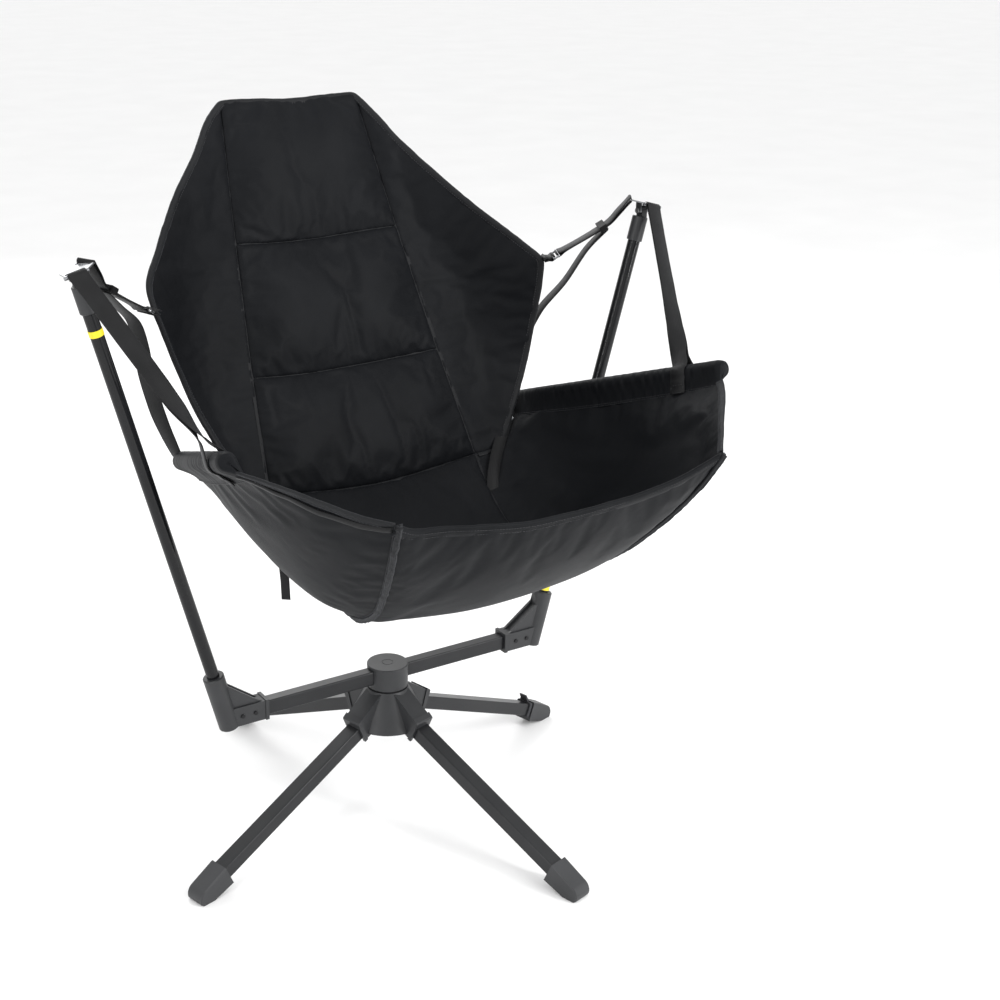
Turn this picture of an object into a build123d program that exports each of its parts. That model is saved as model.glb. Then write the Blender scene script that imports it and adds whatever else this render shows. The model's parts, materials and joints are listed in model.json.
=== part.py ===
from build123d import *
import os
from math import atan2, cos, degrees, radians, sin, sqrt

# Camp swing chair: a four-leg hub base, a swivelling crossbar with two
# outward-leaning poles, and a sling seat that hangs between the pole tops.
# Millimetres. +Z up, the sitter faces -Y, X runs along the crossbar.
# The origin is on the floor under the middle of the whole chair.

os.makedirs("parts", exist_ok=True)

# ---------------------------------------------------------------- dimensions
hub_y = 22.1            # hub axis, behind the middle of the chair
base_turn = -30.2       # how far the legs are turned from the crossbar's diagonals

leg_w = 24.5            # leg tube, width and height
leg_h = 21.5
leg_wall = 1.6
leg_slope = 23.82       # degrees down from the hub
leg_top_80 = 158.1      # height of a leg's top face at 80 mm from the hub axis
pin_r_from_hub = 50.0   # leg pivot pin, distance from the hub axis
pin_d = 6.0
boot_w = 32.6
foot_reach = 397.0      # hub axis to boot nose

skirt_top_z = 205.0
skirt_top_r = 33.5
skirt_low_z = 147.0
skirt_low_r = 61.0
socket_w = 31.6
turret_r = 32.0
turret_low_z = 206.6
turret_top_z = 240.0
lid_r = 32.2
lid_top_z = 244.0
bolt_d = 10.0

bar_w = 18.9            # crossbar tube, width and height
bar_h = 23.0
bar_wall = 1.6
bar_top_z = 238.5
bar_in_x = 17.0
bar_out_x = 262.0

pole_foot_x = 271.5     # pole axis at the bottom of the elbow
pole_foot_z = 208.9
pole_lean = 15.03       # degrees outward from upright
pole_d = 19.0
pole_wall = 1.3
elbow_d = 31.8
elbow_len = 92.0
cap_d = 24.0
cap_low_s = 674.0       # distances along the pole axis
cap_top_s = 712.0
pin_s = 722.0           # hanger pin

swing_pin_d = 5.0
web_w = 25.0            # webbing width
web_t = 3.0             # two layers of webbing

# sling seat, right-hand key points (X, Y from the hub axis, Z)
TOP = (115.0, 297.0, 1073.0)      # top corner of the back
SEAM1 = (138.0, 208.0, 877.0)     # end of the upper cross seam
SEAM2 = (160.0, 119.0, 697.0)     # end of the lower cross seam
CREASE = (178.0, 34.0, 545.0)     # where back and seat meet
WIDE = (327.0, 73.0, 830.0)       # widest corner of the back, held by a ring
ARM_REAR = (289.0, 95.0, 600.0)   # arm rod, rear end
ARM_FRONT = (391.0, -285.0, 733.0)  # arm rod, front end
STRAP_LOW = (382.0, -211.0, 721.0)  # where the front strap meets the arm
LIP = (249.0, -443.0, 678.0)      # front corner of the seat panel
ring_at = (345.0, 67.5, 835.5)
slider_at = (418.0, 30.0, 886.0)
arm_rod_d = 16.0
arm_sleeve_d = 27.0
pad_t = 20.92
wing_t = 12.0
seat_t = 13.0
side_t = 8.0


# ------------------------------------------------------------------- helpers
def P(p):
    """Seat point, moved from the hub axis to the chair's own origin."""
    return Vector(p[0], p[1] + hub_y, p[2])


def lerp(a, b, t):
    return tuple(a[i] + (b[i] - a[i]) * t for i in range(3))


lean = radians(pole_lean)
pole_plane = Plane(
    origin=(pole_foot_x, hub_y, pole_foot_z),
    x_dir=(cos(lean), 0, -sin(lean)),
    z_dir=(sin(lean), 0, cos(lean)),
)
pin_x = pole_foot_x + pin_s * sin(lean)
pin_z = pole_foot_z + pin_s * cos(lean)

slope = radians(leg_slope)


def leg_top(r):
    """Height of a leg's top face at distance r from the hub axis."""
    return leg_top_80 - (r - 80.0) * sin(slope) / cos(slope)


leg_pin_z = leg_top(pin_r_from_hub) - leg_h / 2 / cos(slope)
leg_angles = {
    "rear_right": 45 + base_turn,
    "rear_left": 135 + base_turn,
    "front_left": 225 + base_turn,
    "front_right": 315 + base_turn,
}
# the leg's own plane: x along the leg, y up square to it, through the pin
leg_plane = Plane(
    origin=(pin_r_from_hub, 0, leg_pin_z),
    x_dir=(cos(slope), 0, -sin(slope)),
    z_dir=(0, -1, 0),
)
boot_plane = Plane(origin=(0, 0, 0), x_dir=(1, 0, 0), z_dir=(0, -1, 0))


def finish(builder, name):
    builder.part.label = name
    export_step(builder.part, "parts/" + name + ".step")


def section_plane(a, b, travel):
    """Plane through a, with x towards b and its normal near the travel direction."""
    x_dir = (b - a).normalized()
    y_dir = travel.cross(x_dir).normalized()
    return Plane(origin=a, x_dir=x_dir, z_dir=x_dir.cross(y_dir))


def band(name, sections, low, high, bulge=0.0):
    """Loft a thin panel through (a, b) chords, between two offsets from the chords."""
    mids = [(a + b) * 0.5 for a, b in sections]
    with BuildPart() as panel:
        for i, (a, b) in enumerate(sections):
            travel = mids[min(i + 1, len(mids) - 1)] - mids[max(i - 1, 0)]
            length = (b - a).length
            with BuildSketch(section_plane(a, b, travel)):
                with BuildLine():
                    Polyline(
                        (0, low), (length * 0.5, low + bulge), (length, low),
                        (length, high), (length * 0.5, high + bulge), (0, high), close=True,
                    )
                make_face()
        loft(ruled=True)
    finish(panel, name)
    return panel


def web(name, points, width_dirs, width, thick):
    """Loft a strap of flat webbing through points, each with its own width direction."""
    with BuildPart() as strap:
        for i, (p, w) in enumerate(zip(points, width_dirs)):
            travel = points[min(i + 1, len(points) - 1)] - points[max(i - 1, 0)]
            w = Vector(*w)
            w = (w - travel * (w.dot(travel) / travel.dot(travel))).normalized()
            with BuildSketch(Plane(origin=p, x_dir=w, z_dir=travel)):
                Rectangle(width, thick)
        loft(ruled=True)
    finish(strap, name)
    return strap


# ---------------------------------------------------------------------- base
with BuildPart() as skirt_master:
    with BuildSketch(Plane.XZ) as profile:
        with BuildLine():
            Polyline(
                (0, skirt_top_z), (skirt_top_r - 1, skirt_top_z), (skirt_top_r, skirt_top_z - 1.5),
                (skirt_low_r, skirt_low_z + 2), (skirt_low_r, skirt_low_z), (0, skirt_low_z), close=True,
            )
        make_face()
    revolve(axis=Axis.Z)
    # four leg sockets with a flange at the mouth
    for angle in leg_angles.values():
        spin = Location((0, 0, 0), (0, 0, angle))
        socket_plane = Plane(spin * Location(Plane.XZ))
        with BuildSketch(socket_plane):
            with BuildLine():
                Polyline(
                    (10, 203.5), (31, 203.5), (79, 171.0), (64.5, 138.0), (22, 157.0), (10, 157.0), close=True
                )
            make_face()
        extrude(amount=socket_w / 2, both=True)
        with BuildSketch(socket_plane):
            with BuildLine():
                Polyline((73, 177.5), (79.5, 172.6), (80.6, 169.9), (66, 136.4), (60.2, 138.9), close=True)
            make_face()
        extrude(amount=socket_w / 2 + 1.6, both=True)
    # leg channels, open below so that each leg can fold down
    for angle in leg_angles.values():
        spin = Location((0, 0, 0), (0, 0, angle))
        channel = Plane(spin * Location(leg_plane))
        drop = 120.0
        with BuildSketch(channel):
            with BuildLine():
                Polyline(
                    (0, leg_h / 2 + 0.35), (60, leg_h / 2 + 0.35), (60, -drop), (-60, -drop),
                    (-11.6 * cos(slope) - 30 * sin(slope), 11.6 * sin(slope) - 30 * cos(slope)),
                    (-11.6 * cos(slope), 11.6 * sin(slope)), close=True,
                )
            make_face()
            Circle(11.6)
        extrude(amount=leg_w / 2 + 0.4, both=True, mode=Mode.SUBTRACT)
        with BuildSketch(channel):
            Circle(pin_d / 2 + 0.03)
        extrude(amount=15.4, both=True, mode=Mode.SUBTRACT)
    # bolt hole and the pocket for its head
    with Locations((0, 0, 170)):
        Cylinder(bolt_d / 2 + 0.05, 80, mode=Mode.SUBTRACT)
    with Locations((0, 0, 150)):
        Cylinder(10.5, 60, mode=Mode.SUBTRACT)
with BuildPart() as hub_skirt:
    with Locations((0, hub_y, 0)):
        add(skirt_master.part)
finish(hub_skirt, "hub_skirt")

with BuildPart() as leg_pins:
    for angle in leg_angles.values():
        with Locations(Location((0, hub_y, 0), (0, 0, angle)) * Location((pin_r_from_hub, 0, leg_pin_z), (90, 0, 0))):
            Cylinder(pin_d / 2, 30.4)
finish(leg_pins, "leg_pins")

with BuildPart() as swivel_washer:
    with Locations((0, hub_y, skirt_top_z + 0.75)):
        Cylinder(26, 1.5)
        Cylinder(bolt_d / 2 + 0.1, 3, mode=Mode.SUBTRACT)
finish(swivel_washer, "swivel_washer")

with BuildPart() as swivel_bolt:
    with BuildSketch(Plane.XY.offset(173.5)):
        with Locations((0, hub_y)):
            RegularPolygon(9.2, 6)
    extrude(amount=6.4)
    with Locations((0, hub_y, 179.9)):
        Cylinder(bolt_d / 2, 55.5, align=(Align.CENTER, Align.CENTER, Align.MIN))
    chamfer(swivel_bolt.faces().sort_by(Axis.Z)[-1].edges(), 0.8)
finish(swivel_bolt, "swivel_bolt")

with BuildPart() as swivel_nut:
    with Locations((0, hub_y, 227.4)):
        Cylinder(11.0, 1.5, align=(Align.CENTER, Align.CENTER, Align.MIN))
    with BuildSketch(Plane.XY.offset(228.9)):
        with Locations((0, hub_y)):
            RegularPolygon(9.0, 6)
    extrude(amount=6.0)
    with Locations((0, hub_y, 230)):
        Cylinder(bolt_d / 2 + 0.05, 20, mode=Mode.SUBTRACT)
finish(swivel_nut, "swivel_nut")

# ---------------------------------------------------------------------- legs
leg_len = (foot_reach - 18 - pin_r_from_hub) / cos(slope)
with BuildPart() as leg_master:
    with BuildSketch(leg_plane):
        with BuildLine():
            Line((0, leg_h / 2), (leg_len, leg_h / 2))
            Line((leg_len, leg_h / 2), (leg_len, -leg_h / 2))
            Line((leg_len, -leg_h / 2), (0, -leg_h / 2))
            ThreePointArc((0, -leg_h / 2), (-leg_h / 2, 0), (0, leg_h / 2))
        make_face()
    extrude(amount=leg_w / 2, both=True)
    long_edges = leg_master.edges().filter_by(lambda e: e.length > 250)
    fillet(long_edges, 2.0)
    with BuildSketch(leg_plane):
        with Locations((leg_len / 2 + 10, 0)):
            Rectangle(leg_len - 24, leg_h - 2 * leg_wall)
    extrude(amount=leg_w / 2 - leg_wall, both=True, mode=Mode.SUBTRACT)
    with BuildSketch(leg_plane):
        Circle(pin_d / 2 + 0.06)
    extrude(amount=leg_w, both=True, mode=Mode.SUBTRACT)

with BuildPart() as boot_master:
    top_off = 4.4
    mx, mz = 350.0, leg_top(350.0) + top_off / cos(slope)      # top of the mouth
    with BuildSketch(boot_plane):
        with BuildLine():
            Polyline(
                (mx, mz), (mx - 33.6 * sin(slope), mz - 33.6 * cos(slope)), (352, 7.4), (364, 1.6), (370, 0), (392, 0),
            )
            Line((392, 0), (395.6, 2.0))
            ThreePointArc((395.6, 2.0), (396.9, 12.5), (389.5, 22.5))
            Line((389.5, 22.5), (mx, mz))
        make_face()
    extrude(amount=boot_w / 2, both=True)
    side_edges = boot_master.edges().filter_by(lambda e: abs(abs(e.center().Y) - boot_w / 2) < 0.01 and e.center().Z > 1.0 and e.center().X > 345)
    chamfer(side_edges, 1.8)
    # pocket that the leg is pressed into
    with BuildSketch(leg_plane):
        with Locations((leg_len / 2 - 50.05, 0)):
            Rectangle(leg_len + 100.1, leg_h + 0.2)
    extrude(amount=leg_w / 2 + 0.1, both=True, mode=Mode.SUBTRACT)

for corner, angle in leg_angles.items():
    with BuildPart() as leg:
        with Locations(Location((0, hub_y, 0), (0, 0, angle))):
            add(leg_master.part)
    finish(leg, "leg_" + corner)
    with BuildPart() as boot:
        with Locations(Location((0, hub_y, 0), (0, 0, angle))):
            add(boot_master.part)
    finish(boot, "boot_" + corner)

# storage tie wound once round the rear-right leg at the boot's mouth, tail free
with BuildPart() as tie_flat:
    tie_s = leg_len - 44
    with BuildSketch(Plane(leg_plane.location * Location((tie_s, 0, 0), (0, 90, 0)))):
        RectangleRounded(leg_w + 5.0, leg_h + 5.0, 3.0)
        RectangleRounded(leg_w + 0.8, leg_h + 0.8, 1.6, mode=Mode.SUBTRACT)
    extrude(amount=3.0, both=True)
    with BuildSketch(leg_plane):
        with BuildLine():
            Polyline(
                (tie_s - 2.8, leg_h / 2 + 2.2), (tie_s + 2.8, leg_h / 2 + 2.2), (tie_s - 11, leg_h / 2 + 14),
                (tie_s - 13.5, leg_h / 2 + 12.8), close=True,
            )
        make_face()
    extrude(amount=7.0, both=True)
with BuildPart() as leg_tie:
    with Locations(Location((0, hub_y, 0), (0, 0, leg_angles["rear_right"]))):
        add(tie_flat.part)
finish(leg_tie, "leg_tie")

# --------------------------------------------------------------- upper frame
with BuildPart() as hub_turret:
    with Locations((0, hub_y, turret_low_z)):
        Cylinder(turret_r, turret_top_z - turret_low_z, align=(Align.CENTER, Align.CENTER, Align.MIN))
    chamfer(hub_turret.edges().filter_by(GeomType.CIRCLE).group_by(Axis.Z)[0], 1.2)
    with Locations((0, hub_y, 220)):
        Cylinder(bolt_d / 2 + 0.06, 60, mode=Mode.SUBTRACT)
    with Locations((0, hub_y, 227.3)):
        Cylinder(11.6, 40, align=(Align.CENTER, Align.CENTER, Align.MIN), mode=Mode.SUBTRACT)
    with Locations((27 + bar_in_x - 0.2, hub_y, bar_top_z - bar_h / 2), (-27 - bar_in_x + 0.2, hub_y, bar_top_z - bar_h / 2)):
        Box(54, bar_w + 0.2, bar_h + 0.2, mode=Mode.SUBTRACT)
finish(hub_turret, "hub_turret")

with BuildPart() as hub_lid:
    with Locations((0, hub_y, turret_top_z)):
        Cylinder(lid_r, lid_top_z - turret_top_z, align=(Align.CENTER, Align.CENTER, Align.MIN))
    fillet(hub_lid.edges().filter_by(GeomType.CIRCLE).group_by(Axis.Z)[-1], 1.6)
    with BuildSketch(Plane.XY.offset(lid_top_z)):
        with Locations((0, hub_y)):
            Circle(9.0)
            Circle(8.0, mode=Mode.SUBTRACT)
    extrude(amount=-0.5, mode=Mode.SUBTRACT)
finish(hub_lid, "hub_lid")

with BuildPart() as crossbar_right:
    with Locations(((bar_in_x + bar_out_x) / 2, hub_y, bar_top_z - bar_h / 2)):
        Box(bar_out_x - bar_in_x, bar_w, bar_h)
    fillet(crossbar_right.edges().filter_by(Axis.X), 2.0)
    with Locations(((bar_in_x + bar_out_x) / 2, hub_y, bar_top_z - bar_h / 2)):
        Box(bar_out_x, bar_w - 2 * bar_wall, bar_h - 2 * bar_wall, mode=Mode.SUBTRACT)
finish(crossbar_right, "crossbar_right")

with BuildPart() as elbow_right:
    with BuildSketch(pole_plane):
        Circle(elbow_d / 2)
    extrude(amount=elbow_len)
    chamfer(elbow_right.edges().filter_by(GeomType.CIRCLE), 1.5)
    # socket for the crossbar
    with BuildSketch(Plane.XZ.offset(-hub_y)):
        with BuildLine():
            Polyline((214, 212.0), (214, 242.5), (280, 242.5), (272, 212.0), close=True)
        make_face()
    extrude(amount=13.4, both=True)
    with BuildSketch(Plane.XZ.offset(-hub_y)):
        with BuildLine():
            Polyline((213, 210.8), (213, 243.7), (218.5, 243.7), (218.5, 210.8), close=True)
        make_face()
    extrude(amount=14.6, both=True)
    # gusset: two outer ribs with a slot between them
    with BuildSketch(Plane.XZ.offset(-hub_y)):
        with BuildLine():
            Polyline((221, 242.0), (228, 244.5), (282, 284.0), (290, 284.0), (280, 242.0), close=True)
        make_face()
    extrude(amount=10.5, both=True)
    with BuildSketch(Plane.XZ.offset(-hub_y)):
        with BuildLine():
            Polyline((232, 242.6), (278, 276.6), (278, 300), (220, 300), (220, 242.6), close=True)
        make_face()
    extrude(amount=6.5, both=True, mode=Mode.SUBTRACT)
    with Locations((210 + (bar_out_x + 0.2 - 210) / 2, hub_y, bar_top_z - bar_h / 2)):
        Box(bar_out_x + 0.2 - 210, bar_w + 0.2, bar_h + 0.2, mode=Mode.SUBTRACT)
    with BuildSketch(pole_plane.offset(26)):
        Circle(pole_d / 2 + 0.1)
    extrude(amount=120, mode=Mode.SUBTRACT)
finish(elbow_right, "elbow_right")

with BuildPart() as pole_right:
    with BuildSketch(pole_plane.offset(26.5)):
        Circle(pole_d / 2)
        Circle(pole_d / 2 - pole_wall, mode=Mode.SUBTRACT)
    extrude(amount=cap_top_s - 7 - 26.5)
finish(pole_right, "pole_right")

with BuildPart() as pole_cap_right:
    with BuildSketch(pole_plane.offset(cap_low_s)):
        Circle(cap_d / 2)
    extrude(amount=cap_top_s - cap_low_s)
    chamfer(pole_cap_right.edges().filter_by(GeomType.CIRCLE), 1.0)
    with BuildSketch(Plane(origin=(pin_x, hub_y, pin_z), x_dir=(0, 1, 0), z_dir=(1, 0, 0))):
        Circle(6.6)
        with Locations((0, -7.5)):
            Rectangle(13.2, 15)
    extrude(amount=5.0, both=True)
    with BuildSketch(pole_plane.offset(cap_low_s - 1)):
        Circle(pole_d / 2 + 0.1)
    extrude(amount=cap_top_s - 6.8 - cap_low_s + 1, mode=Mode.SUBTRACT)
    with BuildSketch(Plane(origin=(pin_x, hub_y, pin_z), x_dir=(0, 1, 0), z_dir=(1, 0, 0))):
        Circle(swing_pin_d / 2 + 0.03)
    extrude(amount=20, both=True, mode=Mode.SUBTRACT)
finish(pole_cap_right, "pole_cap_right")

with BuildPart() as hanger_pin_right:
    with BuildSketch(Plane(origin=(pin_x, hub_y, pin_z), x_dir=(0, 1, 0), z_dir=(1, 0, 0))):
        Circle(swing_pin_d / 2)
    extrude(amount=8.6, both=True)
    with BuildSketch(Plane(origin=(pin_x + 8.6, hub_y, pin_z), x_dir=(0, 1, 0), z_dir=(1, 0, 0))):
        Circle(4.2)
    extrude(amount=1.8)
    with BuildSketch(Plane(origin=(pin_x - 8.6, hub_y, pin_z), x_dir=(0, 1, 0), z_dir=(-1, 0, 0))):
        Circle(4.2)
    extrude(amount=1.8)
finish(hanger_pin_right, "hanger_pin_right")

# coloured marking band near one end of each pole: low on the right, high on the left
with BuildPart() as pole_band_right:
    with BuildSketch(pole_plane.offset(elbow_len + 3)):
        Circle(pole_d / 2 + 0.6)
        Circle(pole_d / 2 + 0.05, mode=Mode.SUBTRACT)
    extrude(amount=9)
finish(pole_band_right, "pole_band_right")

with BuildPart() as band_high:
    with BuildSketch(pole_plane.offset(641)):
        Circle(pole_d / 2 + 0.6)
        Circle(pole_d / 2 + 0.05, mode=Mode.SUBTRACT)
    extrude(amount=9)
with BuildPart() as pole_band_left:
    mirror(band_high.part, about=Plane.YZ)
finish(pole_band_left, "pole_band_left")

# screws that clamp each crossbar in the elbow and in the turret
with BuildPart() as bar_screws:
    for side in (1, -1):
        with Locations(
            Location((side * 235, hub_y - 13.5, bar_top_z - bar_h / 2), (90, 0, 0)),
            Location((side * 256, hub_y - 13.5, bar_top_z - bar_h / 2), (90, 0, 0)),
        ):
            Cylinder(3.2, 1.6, align=(Align.CENTER, Align.CENTER, Align.MIN))
finish(bar_screws, "bar_screws")

# ---------------------------------------------------------------------- seat
# the hanger plate's plane: x outward, y to the rear, z along the pole
hang = Plane(origin=(pin_x, hub_y, pin_z), x_dir=(cos(lean), 0, -sin(lean)), z_dir=(sin(lean), 0, cos(lean)))
with BuildPart() as hanger_right:
    with BuildSketch(hang.offset(10.0)):
        with BuildLine():
            Polyline(
                (19, -16), (-12, -16), (-27, -2), (-11.5, 21), (6, 21), (19, 6), close=True,
            )
        make_face()
    extrude(amount=2.0)
    # two ears that straddle the cap's lug
    for x0, x1, top in ((pin_x + 5.4, pin_x + 7.4, pin_z + 8.9), (pin_x - 7.4, pin_x - 5.4, pin_z + 12.6)):
        with BuildSketch(Plane(origin=(x0, hub_y, pin_z), x_dir=(0, 1, 0), z_dir=(1, 0, 0))):
            Circle(6.0)
            with Locations((0, (top - pin_z) / 2)):
                Rectangle(12, top - pin_z)
        extrude(amount=2.0)
    with BuildSketch(Plane(origin=(pin_x - 10, hub_y, pin_z), x_dir=(0, 1, 0), z_dir=(1, 0, 0))):
        Circle(swing_pin_d / 2 + 0.06)
    extrude(amount=20, mode=Mode.SUBTRACT)
    # slots for the webbing, one along the front edge and one along the slanted rear edge
    with BuildSketch(hang.offset(8)):
        with Locations((3.5, -10.5)):
            Rectangle(27, 4.4)
        with Locations(Location((-15.2, 8.0), 56)):
            Rectangle(25, 4.0)
    extrude(amount=6, mode=Mode.SUBTRACT)
    # rolled front edge
    with BuildSketch(Plane(hang.location * Location((-13, -15.8, 9.8), (0, 90, 0)))):
        Circle(2.6)
    extrude(amount=34)
finish(hanger_right, "hanger_right")

bar_front = hang.location * Location((3.5, -16.5, 6.0))
bar_rear = hang.location * Location((-21.0, 11.0, 7.0))
arm_dir = (P(ARM_FRONT) - P(ARM_REAR)).normalized()

# front strap: doubled webbing that turns about a quarter turn on its way to the arm
a = Vector(*bar_front.position)
b = P(STRAP_LOW) + Vector(0.6, 0.4, 1) * 14.5
run = (b - a).normalized()
w0 = Vector(cos(lean), 0, -sin(lean))
w1 = arm_dir
pts, ws = [], []
for k in range(6):
    t = k / 5
    pts.append(a + run * 2.5 + (b - a - run * 5.0) * t)
    w = w0 * (1 - t) + w1 * t
    ws.append((w.X, w.Y, w.Z))
front_strap_right = web("front_strap_right", pts, ws, web_w, web_t)

# rear strap: hanger to slider to ring
slider_pt = P(slider_at)
ring_pt = P(ring_at)
rear_dir = (ring_pt - slider_pt).normalized()
rear_w = Vector(0.39, 0.92, 0.0)
a = Vector(*bar_rear.position)
pts = [a + (slider_pt - a).normalized() * 2.5, slider_pt, ring_pt - rear_dir * 7.5]
rear_strap_right = web("rear_strap_right", pts, [(0.55, 0.83, 0), (0.45, 0.88, 0), (0.39, 0.92, 0)], web_w, web_t)

# three-bar slider round the rear strap
rear_wn = (rear_w - rear_dir * rear_w.dot(rear_dir)).normalized()
slide_c = slider_pt + rear_dir * 12
with BuildPart() as slider_right:
    with BuildSketch(Plane(origin=slide_c - rear_dir * 6, x_dir=rear_wn, z_dir=rear_dir)):
        RectangleRounded(34, 9.4, 2.0)
        Rectangle(27, 5.0, mode=Mode.SUBTRACT)
    extrude(amount=12)
finish(slider_right, "slider_right")

# rectangular ring between the strap and the seat's tab
with BuildPart() as ring_right:
    n = rear_wn.cross(rear_dir)
    with BuildSketch(Plane(origin=ring_pt - n * 1.5, x_dir=rear_wn, z_dir=n)):
        RectangleRounded(34, 12.5, 3.0)
        RectangleRounded(28, 6.5, 1.0, mode=Mode.SUBTRACT)
    extrude(amount=3)
    fillet(ring_right.edges().filter_by(lambda e: e.length > 20), 0.9)
finish(ring_right, "ring_right")

# lower strap: slider down behind the wing to the arm's rear end
s0 = slider_pt + rear_dir * 6 + Vector(2, -2, -11)
pts = [s0, P((352, 68, 792)), P((334, 84, 740)), P((318, 99, 668)), P((305, 103, 622))]
ws = [(0.39, 0.92, 0), (0.39, 0.92, 0), (0.3, 0.9, -0.1), (0.2, 0.95, 0), (0.2, 0.95, 0.0)]
lower_strap_right = web("lower_strap_right", pts, ws, web_w - 3, 1.6)

# arm rod inside its sewn sleeve
a, b = P(ARM_REAR), P(ARM_FRONT)
with BuildPart() as arm_rod_right:
    with BuildSketch(Plane(origin=a + arm_dir * 4, z_dir=arm_dir)):
        Circle(arm_rod_d / 2)
        Circle(arm_rod_d / 2 - 1.4, mode=Mode.SUBTRACT)
    extrude(amount=(b - a).length - 8)
finish(arm_rod_right, "arm_rod_right")

with BuildPart() as arm_sleeve_right:
    with BuildSketch(Plane(origin=a, z_dir=arm_dir)):
        Circle(arm_sleeve_d / 2)
    extrude(amount=(b - a).length)
    with BuildSketch(Plane(origin=a + arm_dir * 3.8, z_dir=arm_dir)):
        Circle(arm_rod_d / 2 + 0.3)
    extrude(amount=(b - a).length - 7.6, mode=Mode.SUBTRACT)
finish(arm_sleeve_right, "arm_sleeve_right")

# back pads: three stuffed chambers between the two long seams
def pad(name, upper, lower, thick):
    u = P((0, upper[1], upper[2]))
    v = P((0, lower[1], lower[2]))
    up = (u - v).normalized()
    normal = Vector(1, 0, 0).cross(up)
    length = (u - v).length
    with BuildPart() as body:
        with BuildSketch(Plane(origin=v - normal * (thick / 2), x_dir=(1, 0, 0), z_dir=normal)):
            with BuildLine():
                Polyline(
                    (-lower[0] + 4, 3), (lower[0] - 4, 3), (upper[0] - 4, length - 3), (-upper[0] + 4, length - 3),
                    close=True,
                )
            make_face()
        extrude(amount=thick)
        fillet(body.edges().filter_by(Axis.X), 5.0)
    finish(body, name)


pad("back_pad_upper", TOP, SEAM1, pad_t)
pad("back_pad_middle", SEAM1, SEAM2, pad_t)
pad("back_pad_lower", SEAM2, CREASE, pad_t)

# stay rods sewn into the long seams, behind the pads
with BuildPart() as back_stay_right:
    top, low = P(TOP), P(CREASE)
    stay_dir = (top - low).normalized()
    back_n = Vector(0, 0.905, -0.425)
    with BuildSketch(Plane(origin=low + back_n * 24 + stay_dir * 6, z_dir=stay_dir)):
        Circle(5.0)
    extrude(amount=(top - low).length - 16)
finish(back_stay_right, "back_stay_right")

# wings of the back
wing_in = [lerp(TOP, SEAM1, 0.05), lerp(TOP, SEAM1, 0.5), SEAM1, lerp(SEAM1, SEAM2, 0.33), SEAM2, lerp(SEAM2, CREASE, 0.55), lerp(SEAM2, CREASE, 0.97)]
wing_out = [lerp(TOP, WIDE, 0.06), lerp(TOP, WIDE, 0.42), lerp(TOP, WIDE, 0.80), WIDE, (300.0, 77.0, 722.0), (277.0, 68.0, 654.0), (222.0, 50.0, 588.0)]
chords = []
for i_pt, o_pt in zip(wing_in, wing_out):
    i_v, o_v = P(i_pt), P(o_pt)
    side = (o_v - i_v).normalized()
    chords.append((i_v + side * 2, o_v))
back_wing_right = band("back_wing_right", chords, -wing_t / 2, wing_t / 2)

# tab from the wing's corner to the ring
pts = [ring_pt + rear_dir * 7.0, ring_pt + rear_dir * 13.0]
ring_tab_right = web("ring_tab_right", pts, [(0.39, 0.92, 0), (0.39, 0.92, 0)], web_w, 2.0)

# seat: two panels across the middle, meeting under the thighs, sagging between the
# side seams; each station is half-width, Y and height of the seam
seat_seam = [
    (176.0, 26.0, 536.0), (168.0, -50.0, 487.0), (165.0, -120.0, 460.0), (174.0, -200.0, 452.0),
    (192.0, -285.0, 490.0), (216.0, -347.0, 556.0), (236.0, -388.0, 617.0), (246.0, -410.5, 652.0),
]


def seat_panel(name, stations, thick, sag):
    chords = [(P((-w + 3, y, z)), P((w - 3, y, z))) for w, y, z in stations]
    return band(name, chords, -thick / 2, thick / 2, bulge=-sag)


seat_panel("seat_panel_rear", seat_seam[:3] + [(173.5, -195.0, 452.3)], seat_t, 22.0)
seat_panel("seat_panel_front", [(174.5, -205.0, 453.5)] + seat_seam[4:6] + [(234.5, -384.5, 612.0)], seat_t, 22.0)
seat_panel("seat_front_hem", [(235.5, -388.5, 618.0), seat_seam[7]], 5.0, 22.0)

# sides, from the seat's long seams up to the arm sleeves
side_low = [(182.0, 26.0, 540.0), (172.0, -55.0, 488.0), (170.0, -120.0, 463.0), (179.0, -202.0, 456.0), (198.0, -288.0, 496.0), (224.0, -352.0, 564.0), (246.0, -402.0, 640.0)]
side_high = [lerp(ARM_REAR, ARM_FRONT, 0.06), lerp(ARM_REAR, ARM_FRONT, 0.27), lerp(ARM_REAR, ARM_FRONT, 0.48), lerp(ARM_REAR, ARM_FRONT, 0.72), lerp(ARM_REAR, ARM_FRONT, 0.97), lerp(ARM_FRONT, LIP, 0.42), lerp(ARM_FRONT, LIP, 0.90)]


def side_chords(lows, highs):
    chords = []
    for i, (lo, hi) in enumerate(zip(lows, highs)):
        lo_v, hi_v = P(lo), P(hi)
        d = (hi_v - lo_v).normalized()
        chords.append((lo_v + d * 6, hi_v - d * 17))
    return chords


all_chords = side_chords(side_low, side_high)
# the front edge's chords end on the edge, not on the sleeve
for k in (5, 6):
    lo_v, hi_v = P(side_low[k]), P(side_high[k])
    d = (hi_v - lo_v).normalized()
    all_chords[k] = (lo_v + d * 6, hi_v - d * 2)
side_panel_right = band("side_panel_right", all_chords, -side_t / 2, side_t / 2, bulge=-14.0)

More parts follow.
